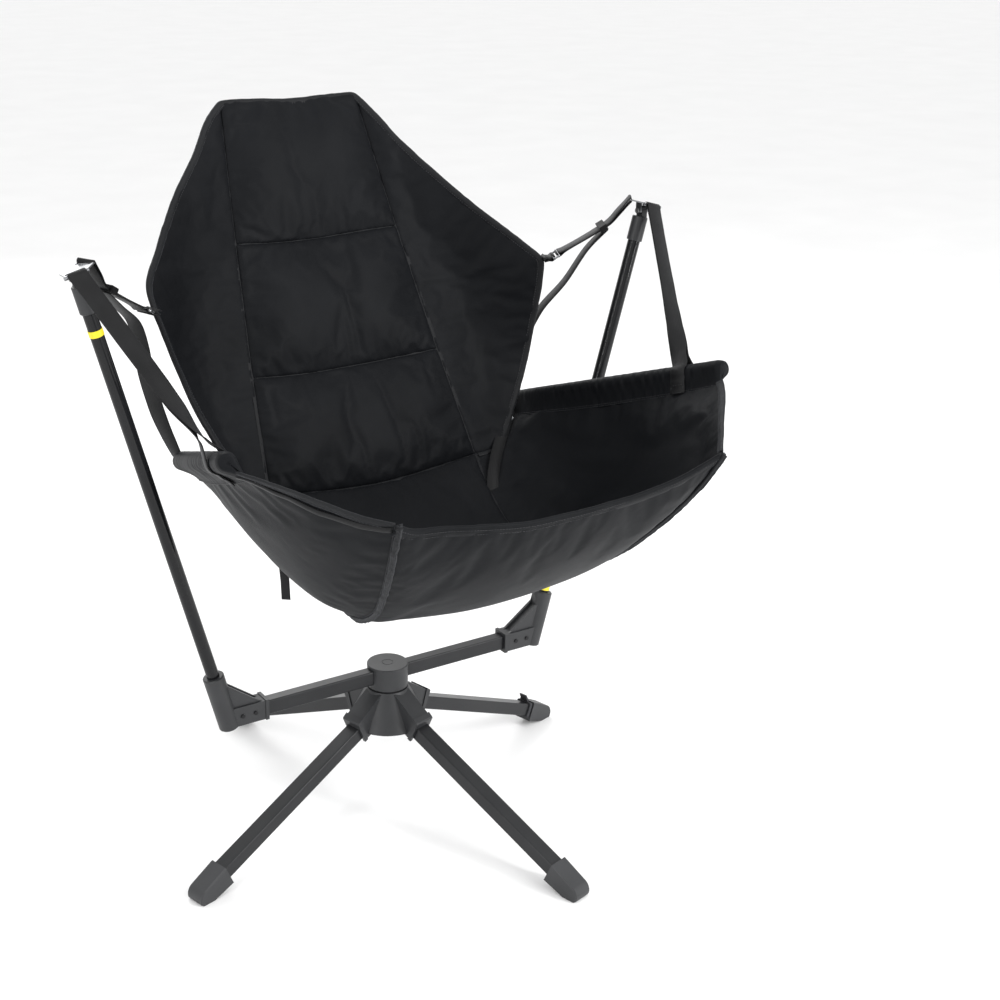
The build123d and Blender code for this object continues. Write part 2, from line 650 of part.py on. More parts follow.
# -------------------------------------------------------- left-hand mirrored
mirrored = {
    "crossbar": crossbar_right, "elbow": elbow_right, "pole": pole_right, "pole_cap": pole_cap_right,
    "hanger_pin": hanger_pin_right, "hanger": hanger_right, "front_strap": front_strap_right,
    "rear_strap": rear_strap_right, "slider": slider_right, "ring": ring_right,
    "lower_strap": lower_strap_right, "arm_rod": arm_rod_right, "arm_sleeve": arm_sleeve_right,
    "back_stay": back_stay_right, "back_wing": back_wing_right, "ring_tab": ring_tab_right,
    "side_panel": side_panel_right,
}
for stem, source in mirrored.items():
    with BuildPart() as left:
        mirror(source.part, about=Plane.YZ)
    finish(left, stem + "_left")
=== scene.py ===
import bpy, bmesh, json, math
import numpy as np
from mathutils import Vector, Matrix


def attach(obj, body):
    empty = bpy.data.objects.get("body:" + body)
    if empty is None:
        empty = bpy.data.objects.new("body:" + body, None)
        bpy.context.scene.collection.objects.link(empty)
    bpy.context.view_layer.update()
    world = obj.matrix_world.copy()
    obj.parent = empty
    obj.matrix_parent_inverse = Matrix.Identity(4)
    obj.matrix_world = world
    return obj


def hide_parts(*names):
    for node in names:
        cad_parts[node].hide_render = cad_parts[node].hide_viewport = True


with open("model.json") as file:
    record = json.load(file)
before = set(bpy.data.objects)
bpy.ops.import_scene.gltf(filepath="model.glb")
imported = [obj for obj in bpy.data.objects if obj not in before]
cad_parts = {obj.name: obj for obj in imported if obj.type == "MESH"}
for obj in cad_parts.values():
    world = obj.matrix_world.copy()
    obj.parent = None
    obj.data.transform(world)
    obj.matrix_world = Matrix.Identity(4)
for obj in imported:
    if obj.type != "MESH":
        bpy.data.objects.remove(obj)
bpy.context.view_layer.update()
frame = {"nodes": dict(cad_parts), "record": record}
nodes = frame["nodes"]

# Camp swing chair. Helper points are given in millimetres from the hub axis, as the
# seat was drawn, and P() moves them to the model's own frame in metres.
HUB_Y = 22.1


def P(x, y, z):
    return np.array([x, y + HUB_Y, z], float) / 1000.0


# ------------------------------------------------------------------ camera
cam_data = bpy.data.cameras.new("camera")
cam = bpy.data.objects.new("camera", cam_data)
bpy.context.scene.collection.objects.link(cam)
yaw, pitch, roll = math.radians(31.74), math.radians(-20.77), math.radians(0.38)
fwd = Vector((math.sin(yaw) * math.cos(pitch), math.cos(yaw) * math.cos(pitch), math.sin(pitch)))
right = fwd.cross(Vector((0, 0, 1))).normalized()
up = right.cross(fwd)
rr = right * math.cos(roll) + up * math.sin(roll)
uu = up * math.cos(roll) - right * math.sin(roll)
cam.matrix_world = Matrix((
    (rr.x, uu.x, -fwd.x, -1.14524), (rr.y, uu.y, -fwd.y, -1.89997),
    (rr.z, uu.z, -fwd.z, 1.37505), (0, 0, 0, 1),
))
cam_data.lens, cam_data.sensor_width = 57.64, 36.0
cam_data.shift_x, cam_data.shift_y = 0.0875, -0.0076
cam_data.clip_start, cam_data.clip_end = 0.05, 250
bpy.context.scene.camera = cam
bpy.context.scene.view_settings.view_transform = "Standard"

# ------------------------------------------------------------------ floor and light
floor_mesh = bpy.data.meshes.new("floor")
bm = bmesh.new()
bmesh.ops.create_grid(bm, x_segments=2, y_segments=2, size=60.0)
bm.to_mesh(floor_mesh)
bm.free()
floor = bpy.data.objects.new("floor", floor_mesh)
floor.location = (0, 20, -0.0006)
bpy.context.scene.collection.objects.link(floor)

world = bpy.data.worlds.new("world")
bpy.context.scene.world = world
world.use_nodes = True
world.node_tree.nodes["Background"].inputs[0].default_value = (1, 1, 1, 1)
world.node_tree.nodes["Background"].inputs[1].default_value = 1.02


def area(name, loc, target, size, power, size_y=None):
    d = bpy.data.lights.new(name, "AREA")
    d.energy, d.size = power, size
    if size_y:
        d.shape, d.size_y = "RECTANGLE", size_y
    o = bpy.data.objects.new(name, d)
    o.location = loc
    o.rotation_euler = (Vector(target) - Vector(loc)).to_track_quat("-Z", "Y").to_euler()
    bpy.context.scene.collection.objects.link(o)
    return o


area("key", (1.2, -2.7, 2.9), (0, 0, 0.5), 1.6, 62)
area("fill", (-2.2, -0.9, 3.0), (0, 0, 0.5), 1.3, 22)
area("rim", (0.6, 2.8, 2.4), (0, 0, 0.6), 1.8, 34)
# tall narrow softboxes give the round tubes their bright lines
area("strip_left", (-2.6, -0.9, 1.1), (0, 0, 0.6), 0.06, 14, 1.8)
area("strip_right", (1.5, -2.6, 1.2), (0.2, 0, 0.6), 0.12, 34, 1.8)


# ------------------------------------------------------------------ materials
def new_mat(name):
    m = bpy.data.materials.new(name)
    m.use_nodes = True
    nt = m.node_tree
    bsdf = nt.nodes["Principled BSDF"]
    return m, nt, bsdf


def link(nt, a, b):
    nt.links.new(a, b)


def node(nt, kind, **inputs):
    n = nt.nodes.new(kind)
    for k, v in inputs.items():
        if k in n.inputs:
            n.inputs[k].default_value = v
        else:
            setattr(n, k, v)
    return n


def coords(nt, scale=(1, 1, 1), rot=(0, 0, 0)):
    tc = nt.nodes.new("ShaderNodeTexCoord")
    mp = nt.nodes.new("ShaderNodeMapping")
    mp.inputs["Scale"].default_value = scale
    mp.inputs["Rotation"].default_value = rot
    link(nt, tc.outputs["Object"], mp.inputs["Vector"])
    return mp.outputs["Vector"]


def ramp(nt, fac, stops):
    r = nt.nodes.new("ShaderNodeValToRGB")
    link(nt, fac, r.inputs["Fac"])
    els = r.color_ramp.elements
    while len(els) > 1:
        els.remove(els[-1])
    els[0].position, els[0].color = stops[0][0], (*stops[0][1], 1)
    for p, c in stops[1:]:
        e = els.new(p)
        e.color = (*c, 1)
    return r.outputs["Color"]


def bump(nt, height, strength, distance, normal=None):
    b = nt.nodes.new("ShaderNodeBump")
    b.inputs["Strength"].default_value = strength
    b.inputs["Distance"].default_value = distance
    link(nt, height, b.inputs["Height"])
    if normal is not None:
        link(nt, normal, b.inputs["Normal"])
    return b.outputs["Normal"]


def noise(nt, vec, scale, detail=4.0, rough=0.55, dist=0.0):
    n = node(nt, "ShaderNodeTexNoise", Scale=scale, Detail=detail, Roughness=rough, Distortion=dist)
    link(nt, vec, n.inputs["Vector"])
    return n.outputs["Fac"]


def painted(name, dark, light, rough, metallic=0.0, coat=0.0, speck=2600.0, speck_h=0.00003, wear=(0.12, 0.12, 0.125), spec=0.5):
    """Painted or moulded surface: fine texture, slow colour drift and scattered rubbed specks."""
    m, nt, b = new_mat(name)
    v = coords(nt)
    drift = noise(nt, v, 9.0, 5.0, 0.6)
    base = ramp(nt, drift, [(0.35, dark), (0.68, light)])
    scratch = noise(nt, v, 210.0, 6.0, 0.75, 2.0)
    gate = ramp(nt, scratch, [(0.66, (0, 0, 0)), (0.74, (0.5, 0.5, 0.5))])
    mix = nt.nodes.new("ShaderNodeMixRGB")
    link(nt, gate, mix.inputs["Fac"])
    link(nt, base, mix.inputs["Color1"])
    mix.inputs["Color2"].default_value = (*wear, 1)
    link(nt, mix.outputs["Color"], b.inputs["Base Color"])
    rgh = nt.nodes.new("ShaderNodeMapRange")
    rgh.inputs["To Min"].default_value = rough - 0.06
    rgh.inputs["To Max"].default_value = rough + 0.08
    link(nt, noise(nt, v, 38.0, 4.0, 0.6), rgh.inputs["Value"])
    link(nt, rgh.outputs["Result"], b.inputs["Roughness"])
    grain = noise(nt, v, speck, 2.0, 0.5)
    link(nt, bump(nt, grain, 0.35, speck_h), b.inputs["Normal"])
    b.inputs["Metallic"].default_value = metallic
    b.inputs["Coat Weight"].default_value = coat
    b.inputs["Coat Roughness"].default_value = 0.05
    b.inputs["Specular IOR Level"].default_value = spec
    return m


M = {}
M["tube"] = painted("tube_satin", (0.013, 0.0135, 0.015), (0.019, 0.0195, 0.021), 0.34, 0.2, spec=0.36)
M["pole"] = painted("pole_gloss", (0.006, 0.0062, 0.007), (0.009, 0.0094, 0.0105), 0.26, 0.0, coat=0.36, speck=900.0, speck_h=0.000003, spec=0.07)
M["moulding"] = painted("moulding", (0.021, 0.0218, 0.0235), (0.030, 0.031, 0.033), 0.42, speck=1700.0, speck_h=0.00006, spec=0.36)
M["boot"] = painted("boot_plastic", (0.024, 0.025, 0.0268), (0.034, 0.035, 0.0375), 0.46, speck=1500.0, speck_h=0.00008, spec=0.4)
M["zinc"] = painted("zinc", (0.38, 0.38, 0.38), (0.5, 0.5, 0.49), 0.34, 1.0, wear=(0.7, 0.7, 0.7))
M["bright"] = painted("bright_metal", (0.20, 0.205, 0.215), (0.29, 0.295, 0.305), 0.28, 1.0, speck=700.0, wear=(0.4, 0.4, 0.41))
M["slider"] = painted("slider_plastic", (0.005, 0.005, 0.0055), (0.008, 0.008, 0.009), 0.55, spec=0.12)
M["bush"] = painted("bush_plastic", (0.5, 0.5, 0.48), (0.62, 0.62, 0.6), 0.5)
M["yellow"] = painted("band_yellow", (0.75, 0.6, 0.015), (0.85, 0.7, 0.025), 0.4, wear=(0.9, 0.85, 0.4))

floor_mat, nt, b = new_mat("floor_pale")
v = coords(nt)
link(nt, ramp(nt, noise(nt, v, 3.0, 4.0), [(0.3, (0.88, 0.88, 0.88)), (0.7, (0.91, 0.91, 0.91))]), b.inputs["Base Color"])
b.inputs["Roughness"].default_value = 0.6
floor_mesh.materials.append(floor_mat)

slot_to_mat = {
    "tube_satin": "tube", "pole_gloss": "pole", "moulding": "moulding", "boot_plastic": "boot", "zinc": "zinc",
    "bright_metal": "bright", "slider_plastic": "slider", "bush_plastic": "bush", "band_yellow": "yellow",
}
for sub in frame["record"]["subparts"]:
    mat = slot_to_mat.get(sub.get("material_slot"))
    if mat and sub["node"] in nodes:
        o = nodes[sub["node"]]
        o.data.materials.clear()
        o.data.materials.append(M[mat])
# the elbows' clamp screws are blackened
M["screw"] = painted("screw_black", (0.010, 0.0102, 0.011), (0.016, 0.0163, 0.0175), 0.36, 0.6, speck=1200.0)
nodes["bar_screws"].data.materials.clear()
nodes["bar_screws"].data.materials.append(M["screw"])

# ------------------------------------------------------------------ cloth materials
def cloth(name, dark, light, rough=0.46, sheen=0.35, pitch=0.00075, weave=0.25, crease_scale=30.0, crease=0.25, spec=0.5):
    """Woven nylon: fine plain weave in the cut's own lengthwise and crosswise directions,
    slow shade drift, small creases and a soft sheen."""
    m, nt, b = new_mat(name)
    v = coords(nt)
    uv = nt.nodes.new("ShaderNodeUVMap")
    uv.uv_map = "cut"
    warp = node(nt, "ShaderNodeTexWave", wave_type="BANDS", bands_direction="X", Scale=0.314159 / pitch, Distortion=0.0)
    weft = node(nt, "ShaderNodeTexWave", wave_type="BANDS", bands_direction="Y", Scale=0.314159 / pitch, Distortion=0.0)
    link(nt, uv.outputs["UV"], warp.inputs["Vector"])
    link(nt, uv.outputs["UV"], weft.inputs["Vector"])
    mx = node(nt, "ShaderNodeMath", operation="MULTIPLY")
    link(nt, warp.outputs["Fac"], mx.inputs[0])
    link(nt, weft.outputs["Fac"], mx.inputs[1])
    drift = noise(nt, v, 5.0, 6.0, 0.62, 0.4)
    fine = noise(nt, v, 900.0, 2.0, 0.6)
    add = node(nt, "ShaderNodeMath", operation="MULTIPLY_ADD")
    link(nt, fine, add.inputs[0])
    add.inputs[1].default_value = 0.35
    link(nt, drift, add.inputs[2])
    link(nt, ramp(nt, add.outputs[0], [(0.45, dark), (0.9, light)]), b.inputs["Base Color"])
    rgh = nt.nodes.new("ShaderNodeMapRange")
    rgh.inputs["To Min"].default_value = rough - 0.07
    rgh.inputs["To Max"].default_value = rough + 0.09
    link(nt, noise(nt, v, 14.0, 5.0, 0.6), rgh.inputs["Value"])
    link(nt, rgh.outputs["Result"], b.inputs["Roughness"])
    creases = noise(nt, v, crease_scale, 5.0, 0.55, 1.2)
    n1 = bump(nt, creases, crease, 0.004)
    n2 = bump(nt, mx.outputs[0], weave, 0.00012, n1)
    link(nt, n2, b.inputs["Normal"])
    b.inputs["Sheen Weight"].default_value = sheen
    b.inputs["Sheen Roughness"].default_value = 0.42
    b.inputs["Sheen Tint"].default_value = (0.75, 0.8, 0.9, 1)
    b.inputs["Specular IOR Level"].default_value = spec
    return m


def webbing(name, dark, light, rough=0.5):
    """Woven strap: ribs across the strap every 1.6 mm, crossed by rows every 2.4 mm, and a slow noisy drift."""
    m, nt, b = new_mat(name)
    v = coords(nt)
    uv = nt.nodes.new("ShaderNodeUVMap")
    uv.uv_map = "cut"
    ribs = node(nt, "ShaderNodeTexWave", wave_type="BANDS", bands_direction="Y", Scale=0.314159 / 0.0016, Distortion=0.0)
    rows = node(nt, "ShaderNodeTexWave", wave_type="BANDS", bands_direction="X", Scale=0.314159 / 0.0024, Distortion=0.0)
    link(nt, uv.outputs["UV"], ribs.inputs["Vector"])
    link(nt, uv.outputs["UV"], rows.inputs["Vector"])
    mx = node(nt, "ShaderNodeMath", operation="MULTIPLY")
    link(nt, ribs.outputs["Fac"], mx.inputs[0])
    link(nt, rows.outputs["Fac"], mx.inputs[1])
    add = node(nt, "ShaderNodeMath", operation="MULTIPLY_ADD")
    link(nt, mx.outputs[0], add.inputs[0])
    add.inputs[1].default_value = 0.3
    link(nt, noise(nt, v, 24.0, 5.0, 0.6), add.inputs[2])
    link(nt, ramp(nt, add.outputs[0], [(0.3, dark), (0.85, light)]), b.inputs["Base Color"])
    link(nt, bump(nt, mx.outputs[0], 0.55, 0.0003, bump(nt, noise(nt, v, 60.0, 3.0), 0.2, 0.001)), b.inputs["Normal"])
    b.inputs["Roughness"].default_value = rough
    b.inputs["Sheen Weight"].default_value = 0.05
    b.inputs["Sheen Roughness"].default_value = 0.4
    b.inputs["Sheen Tint"].default_value = (0.8, 0.84, 0.9, 1)
    b.inputs["Specular IOR Level"].default_value = 0.15
    return m


M["pad"] = cloth("pad_cloth", (0.0042, 0.0046, 0.0055), (0.0078, 0.0084, 0.0098), rough=0.52, sheen=0.010, spec=0.07, crease=0.17, crease_scale=14.0)
M["seat"] = cloth("seat_cloth", (0.0048, 0.0052, 0.0061), (0.0086, 0.0092, 0.0105), rough=0.48, sheen=0.010, spec=0.06, crease=0.15, crease_scale=16.0)
M["binding"] = cloth("binding_cloth", (0.006, 0.0063, 0.0072), (0.010, 0.0105, 0.0118), rough=0.55, sheen=0.08, pitch=0.0014, weave=0.6, crease_scale=120.0, crease=0.25, spec=0.16)
M["web"] = webbing("webbing", (0.0060, 0.0061, 0.0065), (0.0115, 0.0116, 0.0122))
M["thread"] = painted("thread", (0.02, 0.021, 0.024), (0.032, 0.033, 0.037), 0.55, speck=1500.0)

rng = np.random.default_rng(7)


# ------------------------------------------------------------------ curve helpers
def smooth_path(points, spacing, closed=False):
    """Centripetal Catmull-Rom through points, resampled evenly."""
    p = np.array(points, float)
    if len(p) == 2:
        n = max(2, int(round(np.linalg.norm(p[1] - p[0]) / spacing)) + 1)
        return p[0] + (p[1] - p[0]) * np.linspace(0, 1, n)[:, None]
    ext = np.vstack([2 * p[0] - p[1], p, 2 * p[-1] - p[-2]])
    out = []
    for i in range(1, len(ext) - 2):
        a, b_, c, d = ext[i - 1:i + 3]
        t0, t1 = 0.0, max(np.linalg.norm(b_ - a), 1e-9) ** 0.5
        t2 = t1 + max(np.linalg.norm(c - b_), 1e-9) ** 0.5
        t3 = t2 + max(np.linalg.norm(d - c), 1e-9) ** 0.5
        for t in np.linspace(t1, t2, 24, endpoint=False):
            a1 = (t1 - t) / (t1 - t0) * a + (t - t0) / (t1 - t0) * b_
            a2 = (t2 - t) / (t2 - t1) * b_ + (t - t1) / (t2 - t1) * c
            a3 = (t3 - t) / (t3 - t2) * c + (t - t2) / (t3 - t2) * d
            b1 = (t2 - t) / (t2 - t0) * a1 + (t - t0) / (t2 - t0) * a2
            b2 = (t3 - t) / (t3 - t1) * a2 + (t - t1) / (t3 - t1) * a3
            out.append((t2 - t) / (t2 - t1) * b1 + (t - t1) / (t2 - t1) * b2)
    out.append(p[-1])
    return resample(np.array(out), spacing)


def resample(p, spacing=None, count=None):
    d = np.concatenate([[0], np.cumsum(np.linalg.norm(np.diff(p, axis=0), axis=1))])
    n = count or max(2, int(round(d[-1] / spacing)) + 1)
    s = np.linspace(0, d[-1], n)
    return np.stack([np.interp(s, d, p[:, k]) for k in range(p.shape[1])], 1)


def at(p, t):
    """Points at shares t (0 to 1) of a polyline's length."""
    d = np.concatenate([[0], np.cumsum(np.linalg.norm(np.diff(p, axis=0), axis=1))])
    s = np.asarray(t, float) * d[-1]
    return np.stack([np.interp(s, d, p[:, k]) for k in range(p.shape[1])], -1)


def unit(a):
    a = np.asarray(a, float)
    return a / np.maximum(np.linalg.norm(a, axis=-1, keepdims=True), 1e-12)


def noise1(x, seed, octaves=3):
    """Smooth deterministic 1-D noise, about -1 to 1."""
    x = np.asarray(x, float)
    r = np.random.default_rng(seed)
    out, amp = np.zeros_like(x), 1.0
    for o in range(octaves):
        tab = r.uniform(-1, 1, 4096)
        f = x * (2 ** o) + 977.0
        i = np.floor(f).astype(int)
        t = f - i
        t = t * t * (3 - 2 * t)
        out += amp * (tab[i % 4096] * (1 - t) + tab[(i + 1) % 4096] * t)
        amp *= 0.5
    return out / 1.75


def make(name, verts, faces, mat, uvs=None, smooth=True):
    me = bpy.data.meshes.new(name)
    me.from_pydata([tuple(map(float, v)) for v in verts], [], [tuple(int(i) for i in f) for f in faces])
    me.validate(clean_customdata=False)
    me.update()
    if uvs is not None:
        layer = me.uv_layers.new(name="cut")
        idx = np.zeros(len(me.loops), np.int32)
        me.loops.foreach_get("vertex_index", idx)
        layer.data.foreach_set("uv", np.asarray(uvs, np.float32)[idx].ravel())
    me.polygons.foreach_set("use_smooth", [smooth] * len(me.polygons))
    me.materials.append(mat)
    o = bpy.data.objects.new(name, me)
    bpy.context.scene.collection.objects.link(o)
    return o


# ------------------------------------------------------------------ sewn panels
from mathutils.geometry import delaunay_2d_cdt, barycentric_transform
from mathutils.bvhtree import BVHTree


def coons(c0, c1, d0, d1, nu, nv):
    """Surface between c0 (v=0) and c1 (v=1), both along u, and d0 (u=0), d1 (u=1), both along v."""
    u, v = np.linspace(0, 1, nu), np.linspace(0, 1, nv)
    C0, C1, D0, D1 = at(c0, u), at(c1, u), at(d0, v), at(d1, v)
    U, V = u[:, None, None], v[None, :, None]
    lin = (1 - V) * C0[:, None] + V * C1[:, None] + (1 - U) * D0[None] + U * D1[None]
    bil = (1 - U) * (1 - V) * C0[0] + U * (1 - V) * C0[-1] + (1 - U) * V * C1[0] + U * V * C1[-1]
    return lin - bil


class Panel:
    """A cut of cloth: an evenly triangulated outline laid on a surface."""

    def __init__(self, c0, c1, d0, d1, spacing, shape=None, nu=40, nv=30, seed=1):
        S = coons(c0, c1, d0, d1, nu, nv)
        if shape is not None:
            S = shape(S)
        self.S = S
        flat = S.reshape(-1, 3)
        mid = flat.mean(0)
        _, _, vt = np.linalg.svd(flat - mid, full_matrices=False)
        # lay out with the cut's own length along y
        ey = unit((S[-1].mean(0) - S[0].mean(0)) - ((S[-1].mean(0) - S[0].mean(0)) @ vt[2]) * vt[2])
        ex = np.cross(ey, vt[2])
        self.layout = lambda q: np.stack([(q - mid) @ ex, (q - mid) @ ey], -1)
        F2 = self.layout(flat)
        tris = []
        for i in range(nu - 1):
            for j in range(nv - 1):
                a, b_, c, d = i * nv + j, (i + 1) * nv + j, (i + 1) * nv + j + 1, i * nv + j + 1
                tris += [(a, b_, c), (a, c, d)]
        bvh = BVHTree.FromPolygons([(x, y, 0.0) for x, y in F2], tris)
        rim = np.vstack([S[:, 0], S[-1, 1:], S[::-1, -1][1:], S[0, ::-1][1:-1]])
        loop = np.vstack([rim, rim[:1]])
        rim3 = resample(loop, spacing)[:-1]
        # keep the four corners exactly
        for k in (S[0, 0], S[-1, 0], S[-1, -1], S[0, -1]):
            rim3[np.argmin(((rim3 - k) ** 2).sum(1))] = k
        rim2 = self.layout(rim3)
        r = np.random.default_rng(seed)
        lo, hi = rim2.min(0), rim2.max(0)
        pts = []
        row = 0
        y = lo[1] + spacing * 0.5
        while y < hi[1]:
            x = lo[0] + (spacing * 0.5 if row % 2 else 0.0)
            while x < hi[0]:
                pts.append((x, y))
                x += spacing
            y += spacing * 0.866
            row += 1
        pts = np.array(pts) + r.uniform(-0.12, 0.12, (len(pts), 2)) * spacing
        # inside test and distance from the rim
        A, B = rim2, np.roll(rim2, -1, 0)
        inside = np.zeros(len(pts), bool)
        dmin = np.full(len(pts), 1e9)
        for a, b_ in zip(A, B):
            cond = (a[1] > pts[:, 1]) != (b_[1] > pts[:, 1])
            with np.errstate(divide="ignore", invalid="ignore"):
                xi = (b_[0] - a[0]) * (pts[:, 1] - a[1]) / (b_[1] - a[1]) + a[0]
            inside ^= cond & (pts[:, 0] < xi)
            ab = b_ - a
            t = np.clip(((pts - a) @ ab) / max(ab @ ab, 1e-12), 0, 1)
            dmin = np.minimum(dmin, np.linalg.norm(pts - (a + t[:, None] * ab), axis=1))
        pts = pts[inside & (dmin > spacing * 0.45)]
        n = len(rim2)
        allp = [Vector(q) for q in rim2] + [Vector(q) for q in pts]
        vs, _, fs, *_ = delaunay_2d_cdt(allp, [(i, (i + 1) % n) for i in range(n)], [], 1, 1e-7)
        self.p2 = np.array([tuple(v) for v in vs])
        self.tris = [tuple(f) for f in fs if len(f) == 3]
        p3 = np.zeros((len(self.p2), 3))
        for i, q in enumerate(self.p2):
            loc, _, fi, _ = bvh.find_nearest((q[0], q[1], 0.0))
            t = tris[fi]
            a2, b2, c2 = [Vector((*F2[k], 0.0)) for k in t]
            a3, b3, c3 = [Vector(flat[k]) for k in t]
            p3[i] = barycentric_transform(loc, a2, b2, c2, a3, b3, c3)
        self.p3 = p3
        # which points are on the rim
        d = np.full(len(self.p2), 1e9)
        for a, b_ in zip(A, B):
            ab = b_ - a
            t = np.clip(((self.p2 - a) @ ab) / max(ab @ ab, 1e-12), 0, 1)
            d = np.minimum(d, np.linalg.norm(self.p2 - (a + t[:, None] * ab), axis=1))
        self.rim_dist = d
        self.on_rim = d < 1e-5
        nrm = np.zeros_like(p3)
        for a, b_, c in self.tris:
            nn = np.cross(p3[b_] - p3[a], p3[c] - p3[a])
            nrm[a] += nn
            nrm[b_] += nn
            nrm[c] += nn
        self.n = unit(nrm)

    def edge_dist(self, curve):
        """Distance of each point from a 3-D polyline, and its place along it."""
        best, where = np.full(len(self.p3), 1e9), np.zeros(len(self.p3))
        s = 0.0
        for a, b_ in zip(curve[:-1], curve[1:]):
            ab = b_ - a
            L = np.linalg.norm(ab)
            t = np.clip(((self.p3 - a) @ ab) / max(ab @ ab, 1e-12), 0, 1)
            dd = np.linalg.norm(self.p3 - (a + t[:, None] * ab), axis=1)
            m = dd < best
            best[m], where[m] = dd[m], (s + t * L)[m]
            s += L
        return best, where


def run_cloth(o, pins, frames=20, pressure=0.0, grow=0.0, gravity=0.0, bend=0.5, stiff=15.0, mass=0.15, air=1.0, quality=6):
    """Settles the mesh with the vertices in pins held still, and keeps the result as its mesh."""
    g = o.vertex_groups.new(name="pin")
    g.add([int(i) for i in np.nonzero(pins)[0]], 1.0, "REPLACE")
    md = o.modifiers.new("cloth", "CLOTH")
    st = md.settings
    st.quality = quality
    st.mass = mass
    st.air_damping = air
    st.tension_stiffness = st.compression_stiffness = stiff
    st.shear_stiffness = stiff * 0.4
    st.bending_stiffness = bend
    st.tension_damping = st.compression_damping = 8
    st.shear_damping = 5
    st.bending_damping = 0.5
    st.shrink_min = -grow
    st.vertex_group_mass = "pin"
    st.pin_stiffness = 1.0
    st.effector_weights.gravity = gravity
    if pressure:
        st.use_pressure = True
        st.uniform_pressure_force = pressure
    md.collision_settings.use_collision = False
    md.collision_settings.use_self_collision = False
    md.point_cache.frame_start, md.point_cache.frame_end = 1, frames
    sc = bpy.context.scene
    for f in range(1, frames + 1):
        sc.frame_set(f)
    dg = bpy.context.evaluated_depsgraph_get()
    ev = o.evaluated_get(dg)
    me = ev.data
    co = np.zeros(len(me.vertices) * 3, np.float32)
    me.vertices.foreach_get("co", co)
    o.modifiers.remove(md)
    o.vertex_groups.remove(g)
    o.data.vertices.foreach_set("co", co)
    o.data.update()
    sc.frame_set(1)
    return o


def limit(o, base, cap):
    """Caps how far each point has moved from its start, and stops any wild point."""
    co = np.zeros(len(o.data.vertices) * 3, np.float32)
    o.data.vertices.foreach_get("co", co)
    co = co.reshape(-1, 3).astype(float)
    d = co - base
    L = np.linalg.norm(d, axis=1)
    cap = np.broadcast_to(cap, L.shape)
    k = np.where(L > 1e-9, cap * np.tanh(L / np.maximum(cap, 1e-6)) / np.maximum(L, 1e-9), 1.0)
    co = base + d * k[:, None]
    o.data.vertices.foreach_set("co", co.astype(np.float32).ravel())
    o.data.update()


def weld_shade(o, levels=1):
    md = o.modifiers.new("smooth", "SUBSURF")
    md.levels = md.render_levels = levels
    md.uv_smooth = "PRESERVE_BOUNDARIES"
    return o
# ------------------------------------------------------------------ the seat's lines
def flip(c):
    return np.asarray(c) * np.array([-1.0, 1.0, 1.0])


TOP, SEAM1, SEAM2, CREASE = P(115, 297, 1073), P(138, 208, 877), P(160, 119, 697), P(178, 34, 545)
WIDE = P(327, 73, 830)
ARM_REAR, ARM_FRONT = P(289, 95, 600), P(391, -285, 733)
STRAP_LOW = P(382, -211, 721)
LIP = P(249, -443, 678)

seam_up = {1: [smooth_path([TOP, SEAM1], 0.004), smooth_path([SEAM1, SEAM2], 0.004), smooth_path([SEAM2, CREASE], 0.004)]}
seam_up[-1] = [flip(c) for c in seam_up[1]]
cross = [
    smooth_path([flip(TOP), P(-60, 297, 1072), P(0, 297.5, 1069), P(62, 297, 1071), TOP], 0.004),
    smooth_path([flip(SEAM1), P(-70, 206, 873), P(5, 209, 872), P(80, 207, 876), SEAM1], 0.004),
    smooth_path([flip(SEAM2), P(-80, 117, 692), P(0, 120, 691), P(85, 118, 694), SEAM2], 0.004),
    smooth_path([flip(CREASE), P(-90, 31, 536), P(0, 28, 532), P(95, 31, 537), CREASE], 0.004),
]
seat_seam = smooth_path([
    CREASE, P(171, -15, 509), P(166, -60, 482), P(165, -120, 459), P(175, -205, 451), P(192, -290, 490), P(218, -362, 560),
    P(238, -412, 625), LIP,
], 0.004)
hem_line = smooth_path([
    flip(LIP), P(-222, -436, 664), P(-175, -431, 656), P(-120, -432, 647), P(-60, -434, 639), P(0, -433, 637),
    P(60, -434, 639), P(120, -432, 642), P(180, -435, 652), P(222, -440, 667), LIP,
], 0.004)
arm_dir = unit(ARM_FRONT - ARM_REAR)

# the wings' outer edges; the left one hangs a little fuller than the right one
wing_low = {
    1: smooth_path([WIDE, P(325, 74, 790), P(317, 78, 732), P(303, 76, 672), P(284, 66, 632), P(265, 54, 604), P(245, 42, 571), P(226, 32, 542)], 0.004),
    -1: smooth_path([flip(WIDE), P(-312, 76, 790), P(-289, 84, 732), P(-266, 82, 672), P(-247, 66, 625), P(-232, 52, 596), P(-216, 40, 565), P(-204, 32, 542)], 0.004),
}
wing_top = {
    1: smooth_path([TOP, P(140, 271, 1041), P(167, 244, 1003), P(243, 163, 915), P(300, 102, 858), WIDE], 0.004),
    -1: smooth_path([flip(TOP), P(-147, 274, 1050), P(-180, 243, 1013), P(-237, 196, 957), P(-290, 142, 897), P(-325, 97, 860), flip(WIDE)], 0.004),
}


